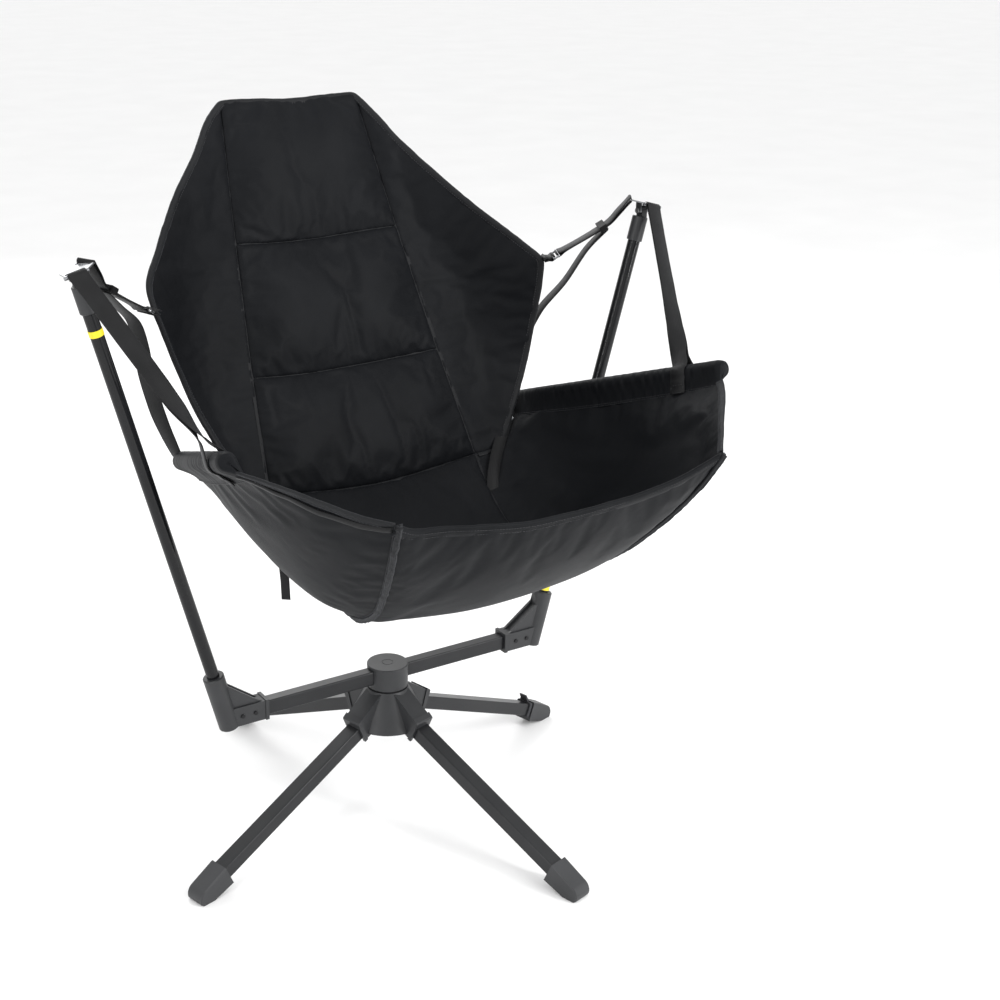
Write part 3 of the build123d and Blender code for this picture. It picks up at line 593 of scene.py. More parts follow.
# ------------------------------------------------------------------ stuffed chambers
def rim_noise(panel, curves, h=0.0016, far=0.0030, seed=3):
    """Puckers square to the seams: fine ones at the thread, wide ones reaching into the panel."""
    out = np.zeros(len(panel.p3))
    for k, (c, a, b_) in enumerate(curves):
        d, s = panel.edge_dist(c)
        lean_ = s + 0.25 * d * noise1(s / 0.05, seed + 40 + k, 1)
        out += a * h * np.exp(-d / 0.010) * noise1(lean_ / 0.0075, seed + k, 2)
        gate = np.clip(1.5 * noise1(s / 0.060, seed + 20 + k, 1) + 0.25, 0, 1.3)
        out += b_ * far * gate * np.exp(-d / 0.040) * (d / (d + 0.006)) * noise1(lean_ / 0.017, seed + 10 + k, 2)
    return out


def shell(name, panel, front, back, mat):
    """Closed body from two copies of a panel, joined round the rim."""
    n = len(panel.p3)
    verts = np.vstack([front, back])
    faces = [t for t in panel.tris] + [tuple(i + n for i in reversed(t)) for t in panel.tris]
    edges = {}
    for a, b_, c in panel.tris:
        for e in ((a, b_), (b_, c), (c, a)):
            edges[e] = edges.get(e, 0) + 1
    for (a, b_) in list(edges):
        if (b_, a) not in edges:
            faces.append((b_, a, a + n, b_ + n))
    uv = np.vstack([panel.p2, panel.p2])
    return make(name, verts, faces, mat, uv)


def orient(panel, towards):
    """Turns a panel's faces so that they look towards a direction."""
    if (panel.n @ np.asarray(towards, float)).mean() < 0:
        panel.n = -panel.n
        panel.tris = [tuple(reversed(t)) for t in panel.tris]
    return panel


def chamber(name, c_left, c_right, c_low, c_high, puff, back_puff, cloth_kw, seed, face=(0, -0.905, 0.425), spacing=0.0068, curves=None, cap=0.010, shape=None, reach=0.035, mat=None):
    """A sewn pocket: c_left and c_right run the way u runs, c_low and c_high across it."""
    pn = orient(Panel(c_left, c_right, c_low, c_high, spacing, shape=shape, seed=seed), face)
    d = pn.rim_dist
    rise = (1 - np.exp(-d / reach)) ** 0.75
    wob = 1 + 0.10 * noise1(pn.p2[:, 0] / 0.06, seed + 5, 2) + 0.10 * noise1(pn.p2[:, 1] / 0.07, seed + 6, 2)
    pk = rim_noise(pn, curves or [], seed=seed * 13)
    front = pn.p3 + pn.n * (0.0016 + puff * rise * wob + pk)[:, None]
    back = pn.p3 - pn.n * (0.0016 + back_puff * rise * wob + 0.7 * np.roll(pk, 7))[:, None]
    o = shell(name, pn, front, back, mat or M["pad"])
    base = np.vstack([front, back])
    pins = np.concatenate([pn.on_rim, pn.on_rim])
    if cloth_kw is not None:
        run_cloth(o, pins, **cloth_kw)
        limit(o, base, cap)
    weld_shade(o)
    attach(o, "seat")
    return o, pn


soft_kw = dict(frames=16, pressure=1.5, grow=0.016, bend=0.5, stiff=12.0, mass=0.12)
pads, pad_panels = {}, []
for k, (nm, puff, bp) in enumerate((("back_chamber_upper", 0.0115, 0.007), ("back_chamber_middle", 0.0120, 0.008), ("back_chamber_lower", 0.0120, 0.008))):
    lo_c, hi_c = cross[k + 1], cross[k]
    curves = [(hi_c, 1.0 if k else 0.5, 1.0 if k else 0.3), (lo_c, 1.1, 1.3), (seam_up[-1][k], 0.6, 0.35), (seam_up[1][k], 0.6, 0.35)]
    o, pn = chamber(nm, seam_up[-1][k], seam_up[1][k], hi_c, lo_c, puff, bp, soft_kw, 21 + k, curves=curves)
    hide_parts(("back_pad_upper", "back_pad_middle", "back_pad_lower")[k])
    pads[nm] = o
    pad_panels.append(pn)

# ------------------------------------------------------------------ wings
wing_panels = {}
for sgn, side in ((1, "right"), (-1, "left")):
    inner = np.vstack([seam_up[sgn][0], seam_up[sgn][1][1:], at(seam_up[sgn][2], np.linspace(0, 1.0, 30))[1:]])
    low = wing_low[sgn]
    d1 = smooth_path([inner[-1], low[-1]], 0.003)

    def cup(S, sgn=sgn):
        u, v = np.linspace(0, 1, S.shape[0])[:, None], np.linspace(0, 1, S.shape[1])[None]
        depth = 0.011 * np.sin(np.pi * u) ** 0.8 * np.sin(np.pi * v)
        return S + depth[..., None] * np.array([0.25 * sgn, 0.85, -0.35])

    curves = [(inner, 0.8, 0.9), (low, 0.7, 0.8), (wing_top[sgn], 0.6, 0.5)]
    o, pn = chamber(
        "wing_cloth_" + side, inner, low, wing_top[sgn], d1, 0.0042, 0.0036,
        dict(frames=14, pressure=0.5, grow=0.007, bend=0.6, stiff=12.0, mass=0.12), 41 + (sgn > 0),
        face=(-0.5 * sgn, -0.8, 0.3), spacing=0.0075, curves=curves, cap=0.0075, shape=cup, reach=0.02,
    )
    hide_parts("back_wing_" + side)
    wing_panels[sgn] = pn

# ------------------------------------------------------------------ seat
def sag(S):
    u, v = np.linspace(0, 1, S.shape[0])[:, None], np.linspace(0, 1, S.shape[1])[None]
    depth = -0.006 * np.sin(np.pi * np.clip(u, 0, 1)) ** 1.2 * np.sin(np.pi * v) ** 0.9
    down = np.stack([0 * u + 0 * v, -0.35 * np.clip(u - 0.45, 0, 1) * 2 + 0 * v, -1.0 + 0 * u * v], -1)
    return S + depth[..., None] * down


seat_curves = [(cross[3], 0.9, 1.2), (flip(seat_seam), 0.6, 0.35), (seat_seam, 0.6, 0.35), (hem_line, 0.7, 0.4)]
seat_pad, seat_panel = chamber(
    "seat_cloth_panel", flip(seat_seam), seat_seam, cross[3], hem_line, 0.0050, 0.0040,
    dict(frames=16, pressure=0.5, grow=0.006, bend=0.8, stiff=12.0, mass=0.12), 61, face=(0, 0.2, 1), spacing=0.0078,
    curves=seat_curves, cap=0.009, shape=sag, reach=0.016, mat=M["seat"],
)
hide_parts("seat_panel_rear", "seat_panel_front", "seat_front_hem")


# ------------------------------------------------------------------ sides
def sheet_piece(name, pn, off, pins, cloth_kw, cap, thick, mat, base_shift=None):
    pos = pn.p3 + pn.n * off[:, None]
    o = make(name, pos, pn.tris, mat, pn.p2)
    if cloth_kw is not None:
        run_cloth(o, pins, **cloth_kw)
        limit(o, pos, cap)
    me = o.data
    co = np.zeros(len(me.vertices) * 3, np.float32)
    me.vertices.foreach_get("co", co)
    co = co.reshape(-1, 3).astype(float)
    nrm = np.zeros_like(co)
    T = np.array(pn.tris)
    fn = np.cross(co[T[:, 1]] - co[T[:, 0]], co[T[:, 2]] - co[T[:, 0]])
    for k in range(3):
        np.add.at(nrm, T[:, k], fn)
    nrm = unit(nrm)
    bpy.data.objects.remove(o)
    o = shell(name, pn, co + nrm * thick / 2, co - nrm * thick / 2, mat)
    weld_shade(o)
    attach(o, "seat")
    return o, co, nrm


# a side panel's cut in square metres: half the surface of its CAD solid, a thin plate
side_panels = {}
arm_down = {1: unit([-0.30, 0.02, -0.95])}
arm_down[-1] = flip(arm_down[1])
for sgn, side in ((1, "right"), (-1, "left")):
    m = (lambda c: np.asarray(c)) if sgn > 0 else flip
    seam_c = m(seat_seam)
    a0, a1 = m(ARM_REAR) + m(arm_dir) * 0.004, m(ARM_FRONT) - m(arm_dir) * 0.003
    top_c = smooth_path([a0 + arm_down[sgn] * 0.011, a1 + arm_down[sgn] * 0.011], 0.004)
    rear_c = smooth_path([seam_c[0], m(P(205, 36, 547)), m(P(236, 52, 562)), m(P(266, 72, 580)), top_c[0]], 0.004)
    if sgn > 0:
        front_c = smooth_path([seam_c[-1], m(P(298, -388, 696)), m(P(348, -333, 713)), top_c[-1]], 0.004)
    else:
        front_c = smooth_path([seam_c[-1], m(P(275, -424, 684)), m(P(312, -386, 697)), m(P(352, -335, 712)), top_c[-1]], 0.004)

    def bulge(S, sgn=sgn):
        u, v = np.linspace(0, 1, S.shape[0])[:, None], np.linspace(0, 1, S.shape[1])[None]
        depth = (0.003 if sgn > 0 else 0.0125) * (1.6 - 0.6 * u) * np.sin(np.pi * np.clip(v, 0, 1) ** 0.8) * (1 - (1 - u) ** 6) * (1 - u ** 4)
        return S + depth[..., None] * np.array([0.62 * sgn, -0.05, -0.78])

    pn = orient(Panel(seam_c, top_c, rear_c, front_c, 0.0078, shape=bulge, seed=81 + (sgn > 0)), (-sgn, 0, 0.6))
    curves = [(seam_c, 0.6, 0.5), (top_c, 1.2, 1.3), (front_c, 0.4, 0.3)]
    off = rim_noise(pn, curves, h=0.0010, far=0.0020, seed=300 + sgn)
    # broad slack folds
    off += 0.0020 * noise1(pn.p2[:, 0] / 0.075 + 0.4 * noise1(pn.p2[:, 1] / 0.15, 5 + sgn, 1), 90 + sgn, 2) * np.clip(pn.rim_dist / 0.05, 0, 1)
    o, co, nrm = sheet_piece(
        "side_cloth_" + side, pn, off, pn.on_rim, dict(frames=14, pressure=-0.2, grow=0.005, bend=0.9, stiff=12.0, mass=0.12), 0.007, 0.0019, M["seat"],
    )
    T = np.array(pn.tris)
    area_m2 = float(np.linalg.norm(np.cross(co[T[:, 1]] - co[T[:, 0]], co[T[:, 2]] - co[T[:, 0]]), axis=1).sum() / 2)
    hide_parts("side_panel_" + side)
    side_panels[sgn] = dict(pn=pn, co=co, n=nrm, front=front_c, rear=rear_c, top=top_c, obj=o)
    print("side area", side, round(area_m2, 4))
# ------------------------------------------------------------------ swept pieces
def tangents(p):
    t = np.zeros_like(p)
    t[1:-1] = p[2:] - p[:-2]
    t[0], t[-1] = p[1] - p[0], p[-1] - p[-2]
    return unit(t)


def sweep(name, pts, A, B, section, mat, body="seat", round_ends=False, smooth=True):
    """Section (closed ring of (a, b) points, or one ring for each station) along pts, a along A and b along B."""
    pts = np.asarray(pts, float)
    n = len(pts)
    sec = np.asarray(section, float)
    if sec.ndim == 2:
        sec = np.repeat(sec[None], n, 0)
    k = sec.shape[1]
    verts = (pts[:, None] + sec[..., :1] * A[:, None] + sec[..., 1:] * B[:, None]).reshape(-1, 3)
    L = np.concatenate([[0], np.cumsum(np.linalg.norm(np.diff(pts, axis=0), axis=1))])
    ring = np.concatenate([[0], np.cumsum(np.linalg.norm(np.diff(sec[0], axis=0), axis=1))])
    uv = np.stack([np.tile(ring, n), np.repeat(L, k)], 1)
    faces = []
    for i in range(n - 1):
        for j in range(k):
            j2 = (j + 1) % k
            faces.append((i * k + j, i * k + j2, (i + 1) * k + j2, (i + 1) * k + j))
    faces.append(tuple(range(k))[::-1])
    faces.append(tuple((n - 1) * k + j for j in range(k)))
    o = make(name, verts, faces, mat, uv, smooth)
    bm = bmesh.new()
    bm.from_mesh(o.data)
    bmesh.ops.recalc_face_normals(bm, faces=bm.faces)
    bm.to_mesh(o.data)
    bm.free()
    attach(o, body)
    return o


def nearest_normals(pts, pos, nrm, k=8):
    out = np.zeros_like(pts)
    for i, q in enumerate(pts):
        d = ((pos - q) ** 2).sum(1)
        idx = np.argpartition(d, k)[:k]
        out[i] = nrm[idx].mean(0)
    for _ in range(6):
        out[1:-1] = (out[:-2] + 2 * out[1:-1] + out[2:]) / 4
    return unit(out)


def soften(p, times=4):
    p = p.copy()
    for _ in range(times):
        p[1:-1] = (p[:-2] + 2 * p[1:-1] + p[2:]) / 4
    return p


def frame_on(pts, N, away=None):
    """Axes across (pointing away from a centre) and out of the cloth for each point of an edge."""
    T = tangents(pts)
    N = unit(N - (N * T).sum(1, keepdims=True) * T)
    A = np.cross(T, N)
    if away is not None and ((pts - away) * A).sum() < 0:
        A = -A
    return A, N


def flat_ring(w, t, r=0.3):
    """Flat strap section with softened edges."""
    h, e = t / 2, w / 2
    return [(-e + t * r, -h), (0, -h * 1.04), (e - t * r, -h), (e, -h * 0.35), (e, h * 0.35), (e - t * r, h), (0, h * 1.04), (-e + t * r, h), (-e, h * 0.35), (-e, -h * 0.35)]


def tape(name, curve, N, w, t, mat, depth=0.0):
    pts = resample(curve, 0.005)
    A, B = frame_on(pts, np.broadcast_to(N, pts.shape) if np.ndim(N) == 1 else N)
    return sweep(name, pts + B * depth, A, B, flat_ring(w, t), mat)


def stitch_row(name, curve, N, lift, offset=0.0, away=None, step=0.0042, length=0.0029, r=0.00042, seed=0, both=0.0):
    """A row of thread: one small closed lozenge for each stitch."""
    c = resample(curve, 0.001)
    A, B = frame_on(c, N if np.ndim(N) == 2 and len(N) == len(c) else np.broadcast_to(np.asarray(N, float)[0] if np.ndim(N) == 2 else N, c.shape), away)
    if np.ndim(N) == 2 and len(N) != len(c):
        idx = np.linspace(0, len(N) - 1, len(c)).round().astype(int)
        A, B = frame_on(c, np.asarray(N)[idx], away)
    T = tangents(c)
    total = len(c) * 0.001
    verts, faces = [], []
    rr_ = np.random.default_rng(seed + 500)
    s = step
    sides = [1.0] if not both else [1.0, -1.0]
    while s < total - step:
        i = min(int(s / 0.001), len(c) - 1)
        for sd in sides:
            mid = c[i] + A[i] * (offset + rr_.normal(0, 0.00012)) + B[i] * lift * sd
            t_ = T[i] + A[i] * rr_.normal(0, 0.05)
            t_ = t_ / np.linalg.norm(t_)
            base_i = len(verts)
            for a_, k_ in ((-0.5, 0.35), (-0.25, 1.0), (0.25, 1.0), (0.5, 0.35)):
                for ang in (0.0, 1.5708, 3.1416, 4.7124):
                    verts.append(mid + t_ * length * a_ + (A[i] * math.cos(ang) + B[i] * math.sin(ang) * 0.8) * r * k_ - B[i] * sd * (0.0005 if abs(a_) > 0.4 else 0))
            for q in range(3):
                for w_ in range(4):
                    w2 = (w_ + 1) % 4
                    faces.append((base_i + q * 4 + w_, base_i + q * 4 + w2, base_i + q * 4 + 4 + w2, base_i + q * 4 + 4 + w_))
            faces.append((base_i + 3, base_i + 2, base_i + 1, base_i))
            faces.append((base_i + 12, base_i + 13, base_i + 14, base_i + 15))
        s += step * (1 + rr_.normal(0, 0.03))
    o = make(name, verts, faces, M["thread"])
    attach(o, "seat")
    return o


BACK_N = unit([0, -0.905, 0.425])
for sgn, side in ((1, "right"), (-1, "left")):
    whole = np.vstack([seam_up[sgn][0][3:], seam_up[sgn][1][1:], seam_up[sgn][2][1:]])
    tape("seam_tape_back_" + side, whole, unit(BACK_N + np.array([-0.25 * sgn, 0, 0])), 0.011, 0.0016, M["binding"])
    c = seat_seam if sgn > 0 else flip(seat_seam)
    Ns = nearest_normals(resample(c, 0.005), seat_panel.p3, seat_panel.n)
    tape("seam_tape_seat_" + side, c, Ns, 0.011, 0.0016, M["binding"])
for k, c in enumerate(cross[1:]):
    tape("seam_tape_cross_%d" % (k + 1), c[1:-1], BACK_N if k < 2 else unit([0, -0.5, 0.85]), 0.009, 0.0016, M["binding"])

# binding round the back, from the crease on one side, over the top, to the crease on the other
outline = np.vstack([
    wing_low[-1][::-1], wing_top[-1][::-1][1:], cross[0][1:], wing_top[1][1:], wing_low[1][1:],
])
outline = resample(outline, 0.004)
outline = soften(outline, 5)
all_pos = np.vstack([wing_panels[1].p3, wing_panels[-1].p3] + [pn_.p3 for pn_ in [pad_panels[0]]])
all_nrm = np.vstack([wing_panels[1].n, wing_panels[-1].n] + [pn_.n for pn_ in [pad_panels[0]]])
ON = nearest_normals(outline, all_pos, all_nrm, 12)
A, B = frame_on(outline, ON, away=P(0, 130, 830))
s_ = np.arange(len(outline)) * 0.004
C_RING = np.array([
    (-9.2, 2.7), (-8.8, 3.3), (-4.5, 3.5), (-0.5, 3.3), (1.4, 2.0), (2.0, 0), (1.4, -2.0), (-0.5, -3.3), (-4.5, -3.5), (-8.8, -3.3),
    (-9.2, -2.7), (-8.6, -2.3), (-1.0, -2.4), (0.6, 0), (-1.0, 2.4), (-8.6, 2.3),
]) / 1000.0
rings = np.repeat(C_RING[None], len(outline), 0)
rings[:, :, 0] += (0.0006 * noise1(s_ / 0.012, 71, 2))[:, None]
rings[:, (0, 1, 2), 0] += (0.0009 * noise1(s_ / 0.018, 72, 2))[:, None]
rings[:, (8, 9, 10), 0] += (0.0009 * noise1(s_ / 0.018, 73, 2))[:, None]
rings[:, :, 1] += (0.0008 * noise1(s_ / 0.03, 74, 2))[:, None]
back_binding = sweep("back_binding", outline, A, B, rings, M["binding"])
stitch_row("back_binding_thread", outline, B, 0.0037, offset=-0.0072, away=P(0, 130, 830), seed=1, both=1.0)

# ------------------------------------------------------------------ arm sleeves
sleeves = {}
for sgn, side in ((1, "right"), (-1, "left")):
    m = (lambda c: np.asarray(c)) if sgn > 0 else flip
    a0, a1 = m(ARM_REAR), m(ARM_FRONT)
    pts = resample(np.vstack([a0, a1]), 0.0016)
    s = np.arange(len(pts)) * 0.0016
    n = len(pts)
    T = tangents(pts)
    D = arm_down[sgn]
    D = unit(D - (T @ D)[:, None] * T)
    sp_co = side_panels[sgn]["co"]
    for i, q in enumerate(pts):
        v = sp_co - q
        ax = v @ T[i]
        v = v - ax[:, None] * T[i]
        r_ = np.linalg.norm(v, axis=1)
        ok = (np.abs(ax) < 0.022) & (r_ > 0.019) & (r_ < 0.033)
        if ok.any():
            D[i] = v[ok].mean(0)
    D = unit(D)
    for _ in range(60):
        D[1:-1] = (D[:-2] + 2 * D[1:-1] + D[2:]) / 4
    D = unit(D - (D * T).sum(1, keepdims=True) * T)
    O = np.cross(T, D)
    if (O[0][0] * sgn) < 0:
        O = -O
    R0 = 0.0136
    ring_n = 26
    # angles run from the tail's inner side, over the top, to the tail's outer side
    ang = np.linspace(-math.pi * 0.72, math.pi * 0.72, ring_n - 6)
    sec = np.zeros((n, ring_n, 2))
    gather = noise1(s / 0.0052, 111 + sgn, 2)
    gather2 = noise1(s / 0.011, 121 + sgn, 2)
    for j, th in enumerate(ang):
        low = (1 - math.cos(th)) / (1 - math.cos(math.pi * 0.72))
        ruffle = (0.0003 + 0.0008 * low ** 1.1) * (gather + 0.45 * noise1(s / 0.0048 + th * 0.5, 131 + sgn, 2)) + 0.0006 * gather2 * low
        r = R0 + ruffle
        sec[:, j + 3, 0] = math.sin(th) * r      # along O
        sec[:, j + 3, 1] = -math.cos(th) * r     # along D (down is positive)
    for k_, (dd, hw) in enumerate(((0.0350, 0.0019), (0.0270, 0.0026), (0.0180, 0.0066))):
        rip = (0.0003, 0.0006, 0.0009)[k_] * gather
        sec[:, k_, 0], sec[:, k_, 1] = -hw + rip, dd
        sec[:, ring_n - 1 - k_, 0], sec[:, ring_n - 1 - k_, 1] = hw + rip, dd
    # the cloth's own thickness: the inner face follows the outer one 0.8 mm inside
    inner = sec.copy()
    inner[:, 3:ring_n - 3] *= (R0 - 0.0008) / R0
    inner[:, :3, 0] += 0.0008
    inner[:, ring_n - 3:, 0] -= 0.0008
    sec = np.concatenate([sec, inner[:, ::-1]], 1)
    # the ends close in
    for idx in (range(0, 11), range(n - 1, n - 12, -1)):
        for q, i in enumerate(idx):
            f = math.sqrt(max(0.0, 1 - ((10 - q) / 11.0) ** 2.4))
            top_k = slice(3, -3)
            c = np.array([0.0, 0.0])
            squeeze = 0.52 + 0.48 * f
            sec[i] = c + (sec[i] - c) * squeeze
    o = sweep("sleeve_cloth_" + side, pts, O, D, sec, M["seat"])
    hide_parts("arm_sleeve_" + side)
    weld_shade(o)
    seam_line = pts[4:-4] + D[4:-4] * 0.0300
    stitch_row("sleeve_thread_a_" + side, seam_line, O[4:-4], 0.0027, seed=11 + sgn, both=1.0)
    stitch_row("sleeve_thread_b_" + side, seam_line + D[4:-4] * 0.0028, O[4:-4], 0.0024, seed=15 + sgn, both=1.0)
    sleeves[sgn] = dict(pts=pts, O=O, D=D)

# ------------------------------------------------------------------ hems and edges of the seat
hem = resample(hem_line, 0.004)
HN = nearest_normals(hem, seat_panel.p3, seat_panel.n)
A, B = frame_on(hem, HN, away=seat_panel.p3.mean(0))
s_ = np.arange(len(hem)) * 0.004
HR = np.array([
    (-15.5, 2.5), (-15, 3.0), (-8, 3.4), (-1.0, 3.0), (0.8, 1.6), (1.2, 0), (0.8, -1.6), (-1.0, -3.0), (-8, -3.4), (-15, -3.0),
    (-15.5, -2.5), (-14.5, -2.2), (-1.2, -2.2), (0.2, 0), (-1.2, 2.2), (-14.5, 2.2),
]) / 1000.0
rings = np.repeat(HR[None], len(hem), 0)
rings[:, :, 1] += (0.0011 * noise1(s_ / 0.022, 171, 2))[:, None]
rings[:, :, 0] += (0.0007 * noise1(s_ / 0.02, 172, 2))[:, None]
sweep("seat_hem_band", hem, A, B, rings, M["seat"])
stitch_row("seat_hem_thread_a", hem, B, 0.0036, offset=-0.0045, away=seat_panel.p3.mean(0), seed=31, both=1.0)
stitch_row("seat_hem_thread_b", hem, B, 0.0034, offset=-0.0125, away=seat_panel.p3.mean(0), seed=32, both=1.0)

for sgn, side in ((1, "right"), (-1, "left")):
    sp = side_panels[sgn]
    for which, curve, w in (("front", sp["front"], 1.0), ("rear", sp["rear"], 0.8)):
        e = resample(curve, 0.004)[1:-1]
        N_ = nearest_normals(e, sp["co"], sp["n"])
        A, B = frame_on(e, N_, away=sp["co"].mean(0))
        s_ = np.arange(len(e)) * 0.004
        rings = np.repeat((C_RING * np.array([w, 0.62]))[None], len(e), 0)
        rings[:, :, 0] += (0.0006 * noise1(s_ / 0.02, 181 + sgn, 2))[:, None]
        rings[:, :, 1] += (0.0006 * noise1(s_ / 0.025, 191 + sgn, 2))[:, None]
        sweep("side_binding_%s_%s" % (which, side), e, A, B, rings, M["binding"])
        stitch_row("side_binding_thread_%s_%s" % (which, side), e, B, 0.0025, offset=-0.0068, away=sp["co"].mean(0), seed=41 + sgn, both=1.0)

# ------------------------------------------------------------------ webbing
lean_a = math.radians(15.03)
PIN = np.array([0.45873, 0.0221, 0.90620])


def ribbon(name, points, wdirs, width, thick, body="seat", spacing=0.004, replaces=None, wob=0.0004, seed=0, raw=False):
    pts = np.asarray(points, float) if raw else smooth_path(points, spacing)
    t = np.linspace(0, 1, len(pts))
    if np.ndim(wdirs) == 1:
        W = np.broadcast_to(np.asarray(wdirs, float), pts.shape)
    else:
        wd = np.asarray(wdirs, float)
        # each given direction belongs to the control point of the same place
        cp = np.asarray(points, float)
        d = np.concatenate([[0], np.cumsum(np.linalg.norm(np.diff(cp, axis=0), axis=1))])
        tt = d / d[-1]
        W = np.stack([np.interp(t, tt, wd[:, k]) for k in range(3)], 1)
    T = tangents(pts)
    W = unit(W - (W * T).sum(1, keepdims=True) * T)
    N = np.cross(T, W)
    rings = np.repeat(np.array(flat_ring(width, thick))[None], len(pts), 0)
    s = t * len(pts) * spacing
    rings[:, :, 1] += (wob * noise1(s / 0.03, 211 + seed, 2))[:, None]
    o = sweep(name, pts, W, N, rings, M["web"], body=body)
    if replaces:
        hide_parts(*replaces)
    return o, pts, W, N


for sgn, side in ((1, "right"), (-1, "left")):
    m = (lambda c: np.asarray(c, float)) if sgn > 0 else (lambda c: flip(np.asarray(c, float)))
    X = np.array([math.cos(lean_a), 0, -math.sin(lean_a)])
    Z = np.array([math.sin(lean_a), 0, math.cos(lean_a)])
    Y = np.array([0, 1.0, 0])

    def H(x, y, z):
        return PIN + X * x / 1000 + Y * y / 1000 + Z * z / 1000

    # front strap: over the rolled front edge of the hanger, both layers down and round the arm
    i_st = int(np.argmin(np.linalg.norm(sleeves[sgn]["pts"] - m(STRAP_LOW), axis=1)))
    centre = m(sleeves[sgn]["pts"][i_st])
    Dn, On = m(sleeves[sgn]["D"][i_st]), m(sleeves[sgn]["O"][i_st])
    adir = arm_dir
    start = H(3.5, -19.4, 10.0)
    upw = unit(start - centre)
    Ra = 0.0155
    for nm, b_ in (("outer", 1.0), ("inner", -1.0)):
        # the layer on top at the hanger comes down on the sitter's side of the arm
        sd = -b_
        st = H(3.5, -19.5 if b_ > 0 else -19.2, 13.0 if b_ > 0 else 7.0)
        a_ = st + (start - st) * 0.35 - upw * 0.010
        top_t = centre + upw * 0.052
        N_top, N_low = unit(np.cross(-upw, X)), unit(np.cross(-upw, adir))
        if N_top[2] < 0:
            N_top = -N_top
        if N_low @ On > 0:
            N_low = -N_low
        path = []
        for f in (0.16, 0.34, 0.52, 0.70, 0.86, 1.0):
            c_ = start + (top_t - start) * f
            g_ = max(0.0, (f - 0.62) / 0.38) ** 1.3
            Nf = unit(N_top * (1 - g_) + N_low * g_)
            path.append(c_ + Nf * b_ * (0.0009 + 0.0010 * max(0.0, f - 0.8) * 5))
        ring = [centre + Ra * (-Dn * math.cos(p) + On * sd * math.sin(p)) for p in (0.95, 1.45, 2.0, 2.35)]
        tail = [centre + Dn * d_ + On * sd * w_ for d_, w_ in ((0.0180, 0.0096), (0.0240, 0.0066), (0.0290, 0.0050), (0.0345, 0.0042))]
        ctrl = [H(3.5, -13.5, 13.5 if b_ > 0 else 8.5), st, a_] + path + [centre + upw * 0.030 + On * sd * 0.0052] + ring + tail
        Al = adir if X @ adir > 0 else -adir
        wd = [X, X, X, X, X, unit(X * 0.96 + Al * 0.04), unit(X * 0.88 + Al * 0.12), unit(X * 0.66 + Al * 0.34), unit(X * 0.3 + Al * 0.7)] + [Al] * 9
        ribbon("front_web_%s_%s" % (nm, side), [m(q) for q in ctrl], [m(w) for w in wd], 0.025, 0.0014, seed=sgn * 3 + (b_ > 0), replaces=("front_strap_" + side,) if b_ > 0 else None)
    # box-stitched patch where the strap is sewn under the arm
    for b_, nm in ((1.0, "outer"), (-1.0, "inner")):
        q0 = m(centre + On * 0.0083 * b_ + Dn * 0.0220)
        q1 = m(centre + On * 0.0053 * b_ + Dn * 0.0330)
        ad, on = m(adir), m(On) * b_
        dn = m(Dn)
        for r_i, frac in enumerate((0.0, 1.0)):
            q = q0 + (q1 - q0) * frac
            stitch_row("strap_box_%s_%s_%d" % (nm, side, r_i), np.vstack([q - ad * 0.0105, q + ad * 0.0105]), on, 0.0004, seed=61 + r_i)
        for r_i, off in enumerate((-0.0105, 0.0105)):
            stitch_row("strap_box_%s_%s_%d" % (nm, side, 2 + r_i), np.vstack([q0 + ad * off, q1 + ad * off]), on, 0.0004, seed=65 + r_i)

    # rear strap: round the hanger's slanted bar, through the slider, to the ring
    slider_c, ring_c = P(418, 30, 886), P(345, 67.5, 835.5)
    rdir = unit(ring_c - slider_c)
    RW = np.array([0.39, 0.92, 0.0])
    RW = unit(RW - rdir * (RW @ rdir))
    RN = np.cross(RW, rdir)
    RN = RN if RN[2] > 0 else -RN
    bar = H(-21.0, 11.0, 10.5)
    bdir = unit(slider_c - bar)
    BW = unit(np.array([0.55, 0.83, 0]) - bdir * (np.array([0.55, 0.83, 0]) @ bdir))
    for b_, nm in ((1.0, "upper"), (-1.0, "lower")):
        off = RN * 0.0011 * b_
        ctrl = [bar - bdir * 0.0025 + RN * 0.0030 * b_, bar + bdir * 0.007 + RN * 0.0026 * b_, bar + (slider_c - bar) * 0.55 + RN * 0.0022 * b_, slider_c + off, ring_c - rdir * 0.014 + off, ring_c - rdir * 0.0058 + RN * 0.0030 * b_]
        ribbon("rear_web_%s_%s" % (nm, side), [m(q) for q in ctrl], [m(BW), m(BW), m(unit(BW * 0.5 + RW * 0.5)), m(RW), m(RW), m(RW)], 0.0248, 0.0013, seed=31 + sgn, replaces=("rear_strap_" + side,) if b_ > 0 else None, wob=0.0002)
    # turns of the strap round the ring's bar and the hanger's bar
    for nm, c_, ax_dir, away_ in (("ring", ring_c - rdir * 0.0048, RW, rdir), ("hanger", bar - bdir * 0.0015, BW, -bdir)):
        th = np.linspace(-math.pi / 2, math.pi / 2, 13)
        loop = np.array([c_ + away_ * math.cos(t_) * 0.0030 + RN * math.sin(t_) * 0.0031 for t_ in th])
        ribbon("web_turn_%s_%s" % (nm, side), [m(q) for q in loop], m(ax_dir), 0.0248, 0.0013, raw=True, wob=0.0, seed=35)
